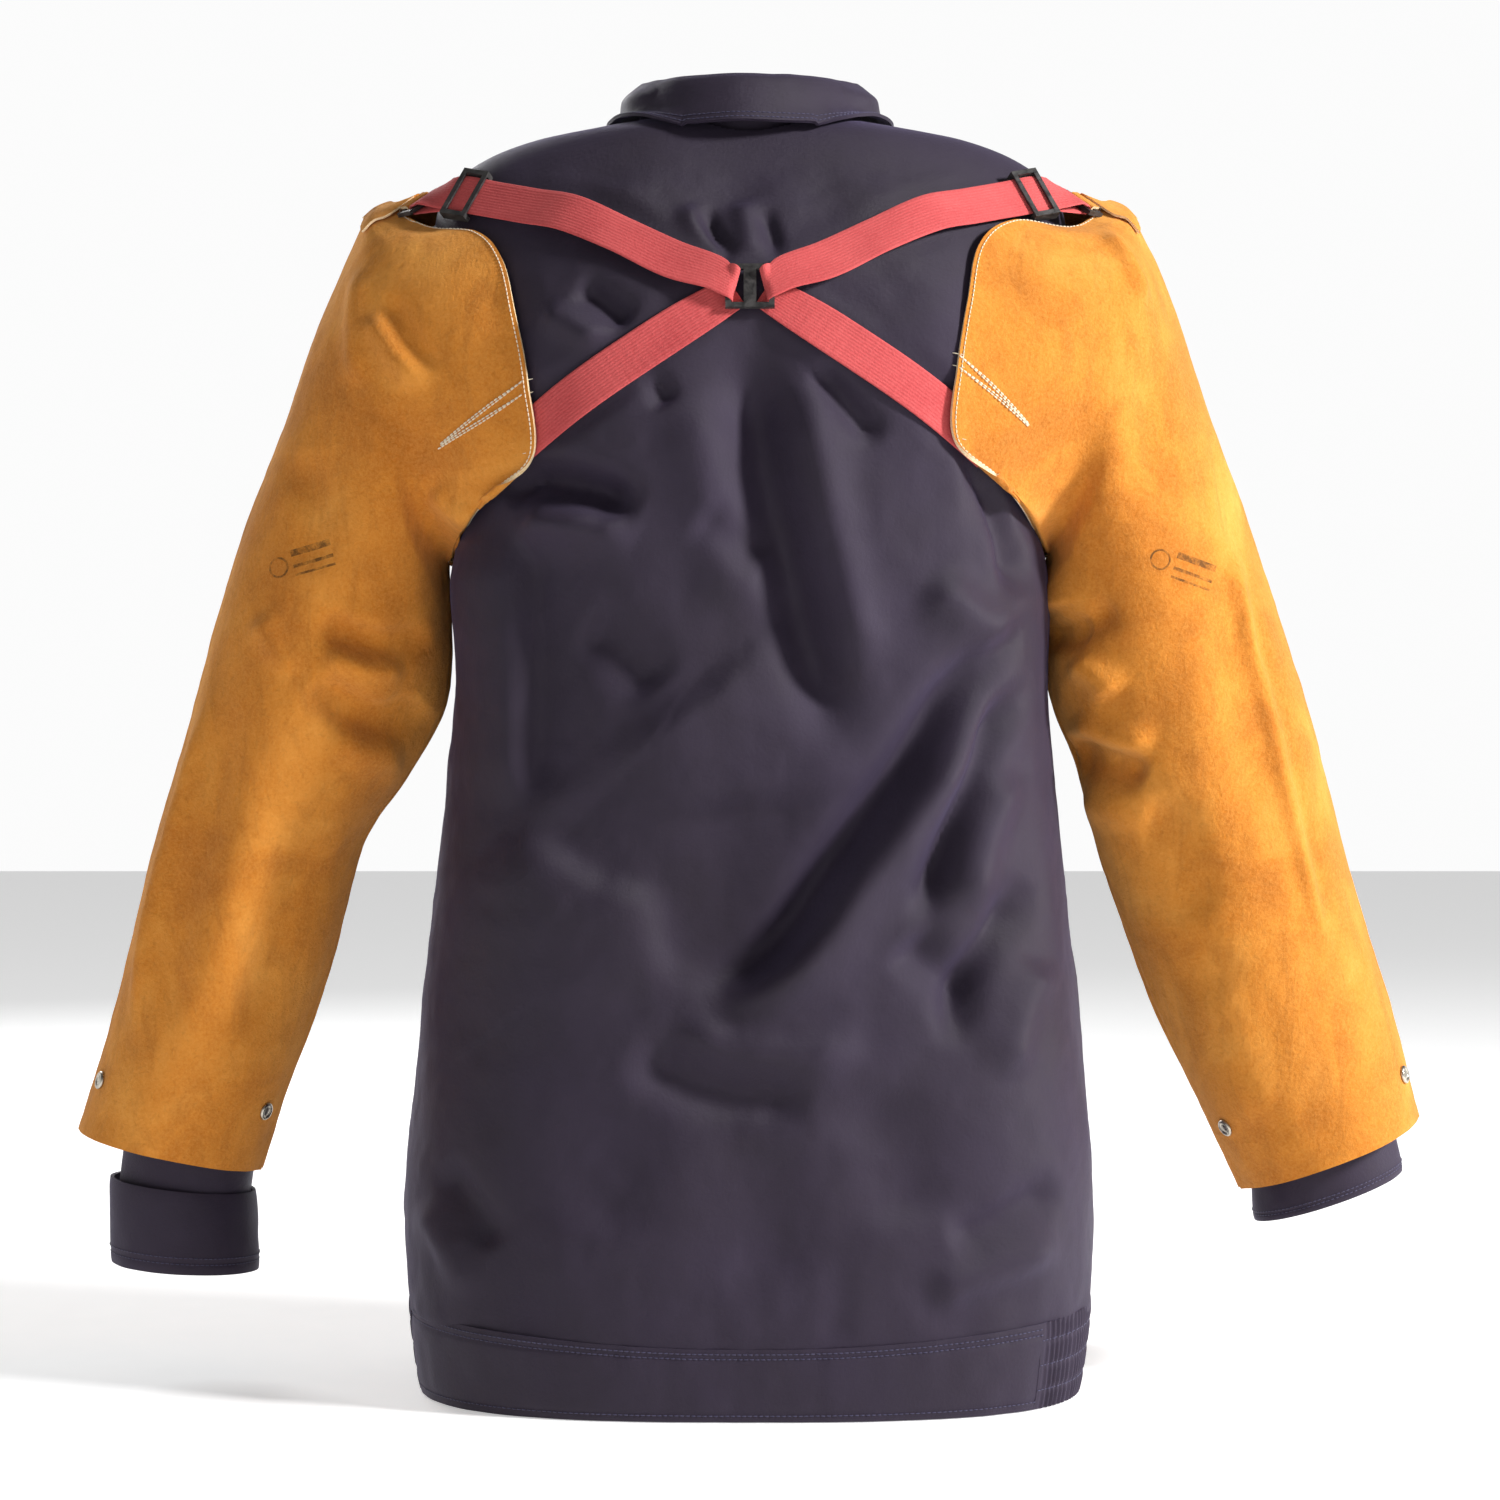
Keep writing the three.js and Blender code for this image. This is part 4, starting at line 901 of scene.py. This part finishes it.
def drill_cuff(side):
    """A folded cuff with two rows of stitches."""
    sign = SIDES[side]
    angles = np.linspace(0, 2 * np.pi, 161)
    rings = []
    for outer_x, outer_z, inner_x, inner_z in JACKET_CUFF[side]:
        half = np.array([outer_x - inner_x, 0, outer_z - inner_z]) / 2
        centre = ((outer_x + inner_x) / 2, CUFF_DEPTH[1], (outer_z + inner_z) / 2)
        rings.append(arm_ring(centre, half, CUFF_DEPTH[0], angles, sign))
    top, bottom = rings
    share = np.linspace(0, 1, 40)[:, None, None]
    grid = bottom + (top - bottom) * share
    if sign < 0:
        grid = grid[:, ::-1]
    normal = grid_normals(grid)
    v = share[..., 0]
    bulge = 0.9 * (1 - (2 * v - 1) ** 6) - 0.5 * np.exp(-(((v - 0.14) / 0.03) ** 2))
    crumple = 0.5 * noise(grid.reshape(-1, 3), 13, 44).reshape(grid.shape[:2])
    grid = grid + normal * (bulge + crumple - 0.8)[..., None]
    grid[:, -1] = grid[:, 0]
    faces = grid_faces(*grid.shape[:2])
    columns = grid.shape[1]
    faces = np.where(faces % columns == columns - 1, faces - columns + 1, faces)
    points, faces, _ = shell(grid.reshape(-1, 3), faces, 2.2)
    make(f"{side}_drill_cuff", points, faces, DRILL, "drill", replaces=f"{side}_jacket_cuff")
    lines = [(grid[k] + normal[k] * 0.1, normal[k]) for k in (5, 8)]
    navy_stitches(f"{side}_cuff_stitches", lines)


for side in SIDES:
    drill_sleeve(side)
    drill_cuff(side)


# ---------- stitching on the leather ----------
def dropped(path, side, half="back"):
    """A path in X and Z, laid on a sleeve's hide, with the normals there."""
    grid, normal, _, _ = leather[side][half]
    points, normals = grid.reshape(-1, 3), normal.reshape(-1, 3)
    line = smooth_path(path, 60)
    gap = ((line[:, None] - points[None][..., [0, 2]]) ** 2).sum(-1)
    near = np.argpartition(gap, 6, axis=1)[:, :6]
    weight = 1 / (np.take_along_axis(gap, near, 1) + 0.05)
    weight /= weight.sum(1, keepdims=True)
    y = (points[near][..., 1] * weight).sum(1)
    n = unit((normals[near] * weight[..., None]).sum(1))
    return np.column_stack([line[:, 0], y, line[:, 1]]) + n * 0.15, n


def edge_line(side, half, inset):
    """The line on a hide that runs at a distance from the armhole edge."""
    grid, normal, along, _ = leather[side][half]
    row = (along < inset).sum(axis=0)
    columns = np.arange(grid.shape[1])
    return grid[row, columns] + normal[row, columns] * 0.15, normal[row, columns]


# The darts: two rows of pale stitches, each row double, that meet at a point, in X and Z.
DARTS = {
    "left": [[(130, 591.5), (150, 578), (179, 557.5)], [(130, 584), (152, 571), (180, 556)]],
    "right": [[(-119, 606), (-138, 590), (-160, 568.5)], [(-119, 599), (-140, 584), (-161, 567)]],
}
# The lower back corner of each hide.
CORNERS = {"left": (131, 550), "right": (-121, 558)}


def loose_end(x, z, sign):
    """A thread end that sticks out past a hide's edge, over the drill."""
    ends = np.array([[x + 2 * sign, 130.0, z], [x - 5 * sign, 130.0, z + 1.5]])
    return on_torso(ends, np.array([7.0, 3.0]))


for side in SIDES:
    lines = []
    for path in DARTS[side]:
        lines += [dropped(np.array(path) + [[0, 0], [0, 0.8 * k], [0, 0.5 * k]], side) for k in (-1, 1)]
    stitches(f"{side}_dart_stitches", lines, PALE_THREAD, "leather", pitch=3.0, length=2.6, radius=0.42)
    ends = [path[0] for path in DARTS[side]] + [CORNERS[side]]
    lines = [loose_end(x, z, SIDES[side]) for x, z in ends]
    stitches(f"{side}_thread_ends", lines, PALE_THREAD, "leather", pitch=7, length=7.5, radius=0.26)
    lines = [edge_line(side, half, 1.1) for half in ("back", "front")]
    stitches(f"{side}_armhole_stitches", lines, PALE_THREAD, "leather", pitch=2.7, length=2.4, radius=0.34)


# ---------- collar ----------
def seam_height(angle):
    """The height of the neck seam, which dips at the front."""
    s = np.sin(angle)
    return np.where(s > 0, 748 - 6 * s, 748 - 62 * np.abs(s) ** 1.7)


def collar_row(half_width, half_depth, rise, drop=0):
    gap = 11  # degrees left open on each side of the zip
    angle = np.radians(np.linspace(-90 + gap, 270 - gap, 240))
    forward = np.maximum(0, -np.sin(angle)) ** 3
    z = seam_height(angle) + rise - drop * forward
    return np.column_stack([half_width * np.cos(angle), NECK_Y + half_depth * np.sin(angle), z])


def clear_of(row, lift):
    """A row of points, with those that are too near the torso lifted off it."""
    slope = outward(row)
    low = outside(row) / np.linalg.norm(slope, axis=1) < lift
    row = row.copy()
    row[low] = on_torso(row[low], np.full(low.sum(), lift))[0]
    return row


def collar():
    rows = [collar_row(70, 76, -5), collar_row(68, 73, 12), collar_row(64, 69, 33)]
    stand = resampled(np.array(rows), 26)
    sheet_piece("collar_stand_cloth", stand, 1.6, DRILL, "drill", replaces="collar_stand")
    rows = [
        clear_of(collar_row(86, 92, 6, 26), 5),
        clear_of(collar_row(80, 86, 16, 16), 5),
        clear_of(collar_row(75, 81, 26, 8), 5),
        collar_row(70.5, 76, 33, 4),
        collar_row(66.5, 71.5, 36, 2),
    ]
    fall = resampled(np.array(rows), 60)
    normal = grid_normals(fall)
    flat = fall.reshape(-1, 3)
    d = 0.9 * noise(flat, 30, 51) + 0.35 * noise(flat, 11, 52)
    fall = fall + normal * (d.reshape(fall.shape[:2]) + 0.8)[..., None]
    sheet_piece("collar_fall_cloth", fall, 2.0, DRILL, "drill", replaces="collar_fall")
    navy_stitches("collar_stitches", seam_lines(fall, (3, 8), (3, -4), slice(3, 50)))
    x = np.linspace(-27, 27, 40)
    share = x / 27
    y = 60.6 - 9 * (1 - share**4) - np.abs(x) * 0.09
    across = np.linspace(-3, 3, 7)
    loop = np.stack([np.column_stack([x[::-1], y, 756 + t + 0 * x]) for t in across])
    sheet_piece("hanger_loop_cloth", loop, 1.4, DRILL, "drill", replaces="hanger_loop")


collar()

# ---------- hem band ----------
# Where each run of the band starts and ends, in degrees round the hem from the wearer's left.
HEM_RUNS = {
    "hem_elastic_left": (-32.4, 12.4), "hem_band_back": (12.1, 147.9), "hem_elastic_right": (147.6, 212.4),
    "hem_band_front_right": (212.1, 269.2), "hem_band_front_left": (270.8, 327.9),
}


def hem_band():
    rows = []
    for name, (start, end) in HEM_RUNS.items():
        elastic = "elastic" in name
        columns = int((end - start) * (7 if elastic else 3.2))
        angle = np.radians(np.linspace(start, end, columns))
        share = np.linspace(0, 1, 46)
        top = HEM_HEIGHT + 13 * np.abs(np.cos(angle)) ** 2.5 * ramp(np.sin(angle), -0.7, 0)
        grid = torso_point(angle[None] + 0 * share[:, None], top[None] * share[:, None])
        normal = unit(outward(grid) * [1, 1, 0])
        v = share[:, None]
        d = 0.6 + 1.1 * (1 - (2 * v - 1) ** 4)
        arc = np.degrees(angle)[None] * 3.3 + 0 * v
        if elastic:
            # Gathers between three rows of stitches.
            rows_at = np.exp(-(((v[..., None] - [0.22, 0.5, 0.78]) / 0.035) ** 2)).sum(-1)
            wander = 1.4 * noise(np.stack([arc, 0 * arc + v * 6, 0 * arc], -1), 9, 61)
            pleats = np.sin((arc + wander) * 2 * np.pi / 4.6)
            ends = ramp(np.minimum(angle - angle[0], angle[-1] - angle), 0, 0.05)[None]
            d = d + ends * (0.75 * pleats * (1 - 0.6 * rows_at) - 0.5 * rows_at)
        else:
            d = d - 0.6 * np.exp(-(((v - 0.86) / 0.03) ** 2))
            d = d - 0.4 * np.exp(-(((v - 0.1) / 0.03) ** 2))
            d = d + 0.5 * noise(np.stack([arc, 0 * arc + v * 40, 0 * arc], -1), 12, 62)
        grid = grid + normal * d[..., None]
        sheet_piece(f"{name}_cloth", grid, 2.6, DRILL, "drill", replaces=name)
        rows += seam_lines(grid, (10, 23, 36) if elastic else (4, 39, 42), lift=0.12)
    navy_stitches("hem_stitches", rows, pitch=3.2, length=2.5, radius=0.28)


hem_band()


# ---------- front zip ----------
def front_y(z):
    return -profile(TORSO, z)[..., 1]


def box_points(low, high, bevel):
    """A box with its long edges taken off, as points and faces."""
    (x0, y0, z0), (x1, y1, z1) = low, high
    b = bevel
    loop = [
        (x0 + b, y0), (x1 - b, y0), (x1, y0 + b), (x1, y1 - b),
        (x1 - b, y1), (x0 + b, y1), (x0, y1 - b), (x0, y0 + b),
    ]
    middle = np.array([x0 + x1, y0 + y1]) / 2
    size = np.array([x1 - x0, y1 - y0])
    points = []
    for z, taken in [(z0, b), (z0 + b, 0), (z1 - b, 0), (z1, b)]:
        ring = middle + (np.array(loop) - middle) * (1 - 2 * taken / size * 0.9)
        points += [[*point, z] for point in ring]
    faces = [list(f) for f in grid_faces(4, 8, closed=True)]
    faces += [[7, 6, 5, 4], [7, 4, 3, 0], [3, 2, 1, 0], [24, 25, 26, 27], [24, 27, 28, 31], [28, 29, 30, 31]]
    return np.array(points, float), np.array(faces)


def zip_front():
    z = np.linspace(0.6, 674, 160)
    for side, sign in SIDES.items():
        near = sign * (0.04 + 3.36 * ramp(z, 44, 50) + parting(z))
        far = sign * (17 + parting(z))
        share = np.linspace(0, 1, 14)[None, :, None]
        inner = np.column_stack([near, front_y(z) + 3.7, z])[:, None]
        outer = np.column_stack([far, front_y(z) + 4.4, z])[:, None]
        grid = inner + (outer - inner) * share
        if sign < 0:
            grid = grid[:, ::-1]
        sheet_piece(f"{side}_zip_tape_cloth", grid, 0.9, TAPE, "zip_tape", replaces=f"{side}_zip_tape")
    tooth_points, tooth_faces = box_points((-1.9, -1.2, -0.62), (1.9, 1.2, 0.62), 0.35)
    rows = {"zip_chain": [], "left_zip_row": [], "right_zip_row": []}
    pitch = 2.9
    for k, height in enumerate(np.arange(51, 671, pitch / 2)):
        sign = 1 if k % 2 else -1
        open_by = float(parting(height)) if height > ZIP_CLOSED_TO + 8 else 0.0
        name = "zip_chain"
        if height >= ZIP_CLOSED_TO + 10:
            name = "left_zip_row" if sign > 0 else "right_zip_row"
        centre = np.array([sign * (1.35 + open_by), float(front_y(height)) + 1.5, height])
        rows[name].append(tooth_points + centre)
    nodes = ("zip_teeth_closed", "left_zip_teeth_open", "right_zip_teeth_open")
    for (name, teeth), node in zip(rows.items(), nodes):
        faces = tooth_faces[None] + (len(tooth_points) * np.arange(len(teeth)))[:, None, None]
        points = np.concatenate(teeth)
        make(name, points, faces.reshape(-1, 4), NICKEL, "nickel", crease=50, replaces=node)


zip_front()

# ---------- chest pockets ----------
POCKET = {"near": 36, "far": 126, "bottom": 455, "top": 578, "flap_top": 592, "flap_bottom": 546}


def chest_piece(name, side, near, far, low, high, rows, lift, crown, thickness, first, **more):
    """A patch on the chest, a little crowned, with two rows of stitches down its sides and at its foot."""
    columns = 70
    u, v = np.meshgrid(np.linspace(-1, 1, columns), np.linspace(-1, 1, rows))
    x, z = np.meshgrid(np.linspace(near, far, columns), np.linspace(low, high, rows))
    p, _ = on_torso(np.stack([x, 0 * x - 130, z], -1), lift + crown * (1 - u**6) * (1 - v**6))
    grid = p * [SIDES[side], 1, 1]
    if side == "right":
        grid = grid[:, ::-1]
    sheet_piece(f"{side}_{name}_cloth", grid, thickness, DRILL, "drill", **more)
    lines = seam_lines(grid, columns=(2, 6, -3, -7), part=slice(first, None)) + seam_lines(grid, (3, 6))
    navy_stitches(f"{side}_{name}_stitches", lines, more.get("body", "jacket"), radius=0.24)


for side in SIDES:
    near, far = POCKET["near"], POCKET["far"]
    low, high = POCKET["bottom"], POCKET["top"]
    node = f"{side}_chest_pocket"
    chest_piece("pocket", side, near, far, low, high, 90, 2.0, 1.6, 1.2, 3, replaces=node)
    low, high = POCKET["flap_bottom"], POCKET["flap_top"]
    more = {"body": f"{side}_flap", "replaces": f"{side}_pocket_flap"}
    chest_piece("flap", side, near - 2, far + 2, low, high, 40, 5.2, 0.9, 1.6, 2, **more)


# ---------- snaps ----------
SNAP_OUTLINE = [
    (0.01, 1.75), (1.1, 1.72), (2.1, 1.55), (2.6, 1.32), (2.9, 1.3), (3.3, 1.62), (4.0, 1.9), (4.8, 1.75),
    (5.3, 1.25), (5.5, 0.6), (5.45, 0.15), (5.2, 0.0), (2.0, 0.0), (2.0, -2.6), (0.01, -2.6),
]
SOCKET_OUTLINE = [
    (0.01, -3.2), (4.7, -3.2), (4.95, -3.5), (4.95, -4.0), (4.6, -4.3), (3.4, -4.5), (3.2, -5.2), (2.6, -5.4),
    (2.2, -5.2), (2.0, -4.4), (0.01, -4.4),
]


def nickel_lathe(name, outline, seat, normal, node, body="jacket"):
    lathe(name, outline[::-1], seat, normal, NICKEL, "nickel", body, replaces=node)


def centre_of(node):
    low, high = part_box(node)
    return np.array((low + high) / 2) / MM


for side, sign in SIDES.items():
    grid, normal, _, _ = leather[side]["back"]
    for place in ("outer", "inner"):
        centre = centre_of(f"{side}_{place}_snap_cap")
        k = np.argmin(((grid.reshape(-1, 3) - centre) ** 2).sum(1))
        up = normal.reshape(-1, 3)[k]
        seat = grid.reshape(-1, 3)[k] + up * 0.3
        name = f"{side}_{place}_snap"
        nickel_lathe(name, SNAP_OUTLINE, seat, up, f"{name}_cap")
        nickel_lathe(f"{name}_back", SOCKET_OUTLINE, seat, up, f"{name}_socket")
    flip = [sign, 1, 1]
    seat, up = on_torso(centre_of(f"{side}_flap_snap") * flip, np.array(6.2))
    stud = [(r, h) for r, h in SNAP_OUTLINE if h >= 0]
    nickel_lathe(f"{side}_flap_stud", stud, seat * flip, up * flip, f"{side}_flap_snap", f"{side}_flap")


# ---------- harness ----------
def on_back(x, y, z, lift, width=STRAP_WIDTH):
    point, normal = on_torso(np.array([x, y, z], float), np.array(float(lift)))
    return point, normal, width


RUN_OUT, RUN_IN = on_back(170, 64, 706, 9), on_back(104, 108, 689, 7.8)
RUN_LENGTH = np.linalg.norm(RUN_IN[0] - RUN_OUT[0])
RUN_ALONG = (RUN_IN[0] - RUN_OUT[0]) / RUN_LENGTH
RUN_UP = on_back(140, 86, 700, 0)[1]
RUN_UP = unit(RUN_UP - RUN_ALONG * (RUN_UP @ RUN_ALONG))
RING_AT = np.array([194.8, 46, 706.4])
RING_UP = unit(np.array([0.4, 0.35, 0.85]))
RING_ALONG = RUN_OUT[0] - RING_AT
RING_ALONG = unit(RING_ALONG - RING_UP * (RING_ALONG @ RING_UP))
RING_ACROSS = np.cross(RING_UP, RING_ALONG)
BAR_AT = 4.6
ADJUSTER_AT = 9


def on_run(distance, lift=0.0):
    return RUN_OUT[0] + RUN_ALONG * distance + RUN_UP * lift, RUN_UP, STRAP_WIDTH


def at_ring(along, up, face, width=STRAP_WIDTH):
    """A point beside the ring, and the way that the strap's outer face looks there."""
    out = unit(RING_ALONG * face[0] + RING_UP * face[1])
    return RING_AT + RING_ALONG * along + RING_UP * up, out, width


LOWER_STRAP = [
    on_back(141, 120, 553, 1.8), on_back(125, 128, 564, 1.8), on_back(105, 133, 578, 2),
    on_back(85, 138, 592, 2.2), on_back(62, 140, 607, 2.2), on_back(40, 142, 622, 2.2),
    on_back(22, 142, 634, 2, 23), on_back(8, 141, 643, 2, 20),
]
UPPER_STRAP = [
    on_back(8.4, 141, 645.5, 4.4, 19), on_back(9.4, 141, 646, 7.2, 19), on_back(12, 141, 647.5, 8.2, 19),
    on_back(22, 141, 654, 8.0, 22), on_back(44, 137, 663, 6), on_back(74, 126, 678, 6.8),
    on_run(RUN_LENGTH), on_run(RUN_LENGTH * 0.66), on_run(RUN_LENGTH * 0.33), on_run(0),
    at_ring(BAR_AT + 5, 3.4, (0, 1)), at_ring(BAR_AT + 0.8, 2.6, (0, 1)),
    at_ring(BAR_AT - 1.3, 2.5, (-0.4, 1)), at_ring(BAR_AT - 2.6, 1.3, (-1, 0.5)),
    at_ring(BAR_AT - 2.6, -1.3, (-1, -0.5)), at_ring(BAR_AT - 1.3, -2.5, (-0.4, -1)),
    at_ring(BAR_AT + 0.8, -2.6, (0, -1)),
]
RETURN_STRAP = [
    at_ring(BAR_AT + 0.8, -2.6, (0, -1)),
    (on_run(-6, -2.9)[0], -RUN_UP, STRAP_WIDTH),
    (on_run(0, -2.6)[0], -RUN_UP, STRAP_WIDTH),
    (on_run(ADJUSTER_AT - 2, -2.45)[0], -RUN_UP, STRAP_WIDTH),
]


def strap(name, stations, sign, rows, body="jacket", replaces=(), upright=0):
    """Flat elastic webbing along its stations, with a rounded selvedge and fine lengthwise ribs."""
    table = np.array([[*point, *normal, width] for point, normal, width in stations])
    run = run_along(table[:, :3])
    at = profile(np.column_stack([run, table]), np.linspace(0, run[-1], rows))
    point, normal, width = at[:, :3], at[:, 3:6], at[:, 6:]
    ahead = unit(np.gradient(point, axis=0))
    normal = unit(normal - ahead * (normal * ahead).sum(1, keepdims=True))
    across = np.cross(ahead, normal)
    if upright:
        # Beside the joiner the strap's end is cut level with the joiner's bars.
        share = ramp(upright - np.abs(point[:, :1]), 0, upright - 8)
        level = np.array([[0, 0, 1.0]]) - normal * normal[:, 2:]
        level *= np.sign((level * across).sum(1, keepdims=True))
        level /= np.maximum((level * across).sum(1, keepdims=True), 0.8)
        across = across + (level - across) * share
    share = np.linspace(-1, 1, 61)
    ribs = 0.09 * np.sin(share * np.pi * 13) * (np.abs(share) < 0.93)
    ribs = ribs + 0.75 * (1 - np.abs(share) ** 14) ** 0.5
    cross = np.linspace(0, run[-1], rows)[:, None]
    weft = 0.05 * np.sin(cross * 2 * np.pi / 1.6)
    outer = point[:, None] + across[:, None] * (share[None, :, None] * width[:, None] / 2)
    top = outer + normal[:, None] * (ribs[None, :, None] + weft[..., None])
    bottom = outer - normal[:, None] * ribs[None, :, None]
    loop = np.concatenate([top, bottom[:, -2:0:-1]], axis=1)
    count = loop.shape[1]
    faces = grid_faces(rows, count, closed=True)
    # Square ends, as strips between the two faces.
    ends = []
    for row in (0, rows - 1):
        for k in range(60):
            quad = [k, k + 1, count - k - 1 if k < 59 else k + 1, (count - k) % count]
            ends.append([row * count + i for i in (quad[::-1] if row else quad)])
    faces = [list(f) for f in faces] + [list(dict.fromkeys(q)) for q in ends]
    if sign > 0:
        faces = [f[::-1] for f in faces]
    points = loop.reshape(-1, 3) * [sign, 1, 1]
    piece = make(name, points, faces, WEB, "webbing", body, crease=60, replaces=replaces)
    return piece


for side, sign in SIDES.items():
    strap(f"{side}_lower_webbing", LOWER_STRAP, sign, 130, replaces=f"{side}_strap_lower")
    strap(f"{side}_upper_webbing", UPPER_STRAP, sign, 300, replaces=f"{side}_strap_upper", upright=22)
    tail = strap(f"{side}_return_webbing", RETURN_STRAP, sign, 60, body=None)
    flip = np.array([sign, 1, 1])
    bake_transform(tail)


def ring_tab(side):
    """The hide tab: folded round the ring's outer bar, then sewn down on the sleeve's cap."""
    sign = SIDES[side]
    fold_line = [
        (-BAR_AT - 1.6, -2.6), (-BAR_AT + 1.3, -2.6), (-BAR_AT + 2.6, -1.3), (-BAR_AT + 2.6, 1.3),
        (-BAR_AT + 1.3, 2.6), (-BAR_AT - 1, 2.8), (-BAR_AT - 3.6, 3),
    ]
    share = np.linspace(-1, 1, 15)
    rows = [
        (RING_AT + RING_ALONG * a + RING_UP * u)[None] + RING_ACROSS[None] * (share[:, None] * -10)
        for a, u in fold_line
    ]
    rows = [row * [sign, 1, 1] for row in rows]
    grid, normal, along, angles = leather[side]["back"]
    wanted = np.radians(17 - 9 * share)
    order = np.argsort(angles)
    columns = np.interp(wanted, angles[order], order.astype(float)).round().astype(int)
    for reach in (10, 19, 28):
        row = (along[:, columns] < reach).sum(axis=0)
        rows.append(grid[row, columns] + normal[row, columns] * 1.4)
    tab = resampled(np.array(rows)[:, ::-1], 70)
    tab = tab[::-1] if sign > 0 else tab[::-1, ::-1]
    node = f"{side}_ring_tab"
    sheet_piece(f"{side}_tab_hide", tab[:, ::-1], 1.4, [SUEDE, EDGE], "leather", replaces=node)


for side in SIDES:
    ring_tab(side)

# ---------- carried-over hardware ----------
for node, material, width in [
    ("harness_joiner", PLASTIC, 0.6), ("zip_slider", NICKEL, 0.4), ("zip_pull_tab", NICKEL, 0.3),
    ("zip_bottom_stop", NICKEL, 0.5),
    *[(f"{side}_{kind}", PLASTIC, 0.45) for side in SIDES for kind in ("strap_adjuster", "cap_ring")],
]:
    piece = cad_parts[node]
    piece.data.materials.clear()
    piece.data.materials.append(material)
    bevel = piece.modifiers.new("rounded", "BEVEL")
    bevel.width = width * MM
    bevel.segments = 3
    bevel.limit_method = "ANGLE"
    bevel.angle_limit = math.radians(35)
    piece.data.shade_smooth()
    normals = piece.modifiers.new("weighted", "WEIGHTED_NORMAL")
    normals.keep_sharp = False


# ---------- stage, light and camera ----------
def stage():
    floor = bpy.data.meshes.new("floor")
    floor.from_pydata([(-9, -9, 0), (9, -9, 0), (9, 9, 0), (-9, 9, 0)], [], [(0, 1, 2, 3)])
    ground = bpy.data.objects.new("floor", floor)
    ground.location.z = -0.0005
    bpy.context.scene.collection.objects.link(ground)
    paper = Finish("paper", 0.9, specular=0.1)
    grain = paper.noise(40, 2)
    paper.shader.inputs["Emission Color"].default_value = (1, 1, 1, 1)
    paper.shader.inputs["Emission Strength"].default_value = FLOOR_GLOW
    shade = paper.steps(grain, (0.3, (0.86, 0.86, 0.86, 1)), (0.7, (0.9, 0.9, 0.9, 1)))
    floor.materials.append(paper.done(shade))


def lamp(name, place, size, power):
    light = bpy.data.lights.new(name, "AREA")
    light.shape = "DISK"
    light.size = size
    light.energy = power
    holder = bpy.data.objects.new(name, light)
    holder.location = place
    holder.rotation_euler = (Vector(LAMPS_AIM_AT) - Vector(place)).to_track_quat("-Z", "Y").to_euler()
    bpy.context.scene.collection.objects.link(holder)


def studio_world():
    """A pale room: bright at eye level, where a camera looks, and dimmer overhead."""
    world = bpy.data.worlds.new("studio")
    bpy.context.scene.world = world
    world.use_nodes = True
    tree = world.node_tree
    towards = add_node(tree, "TexCoord").outputs["Generated"]
    axes = add_node(tree, "SeparateXYZ", {0: towards}).outputs

    def fade(axis, *limits):
        inputs = dict(zip(("From Min", "From Max", "To Min", "To Max"), limits), Value=axes[axis])
        return add_node(tree, "MapRange", inputs, interpolation_type="SMOOTHSTEP").outputs["Result"]

    both = {0: fade("Z", 0.2, 0.42, 0.97, 0.25), 1: fade("Y", -0.2, 0.35, 1, 0.4)}
    strength = add_node(tree, "Math", both, operation="MULTIPLY").outputs[0]
    tree.links.new(strength, tree.nodes["Background"].inputs["Strength"])
    tree.nodes["Background"].inputs["Color"].default_value = (1, 1, 1, 1)


stage()
studio_world()
lamp("key", (-2.4, 1.0, 1.7), 0.5, 130)
lamp("fill", (0.8, 2.6, 0.9), 1.2, 2)
lamp("front", (1.2, -2.2, 1.7), 1.2, 34)
lens = bpy.data.cameras.new("camera")
lens.lens = 85
lens.sensor_width = 36
camera = bpy.data.objects.new("camera", lens)
camera.location = (0, 2.15, 0.381)
camera.rotation_euler = (math.radians(90), 0, math.radians(180))
bpy.context.scene.collection.objects.link(camera)
bpy.context.scene.camera = camera
bpy.context.scene.view_settings.view_transform = "Standard"
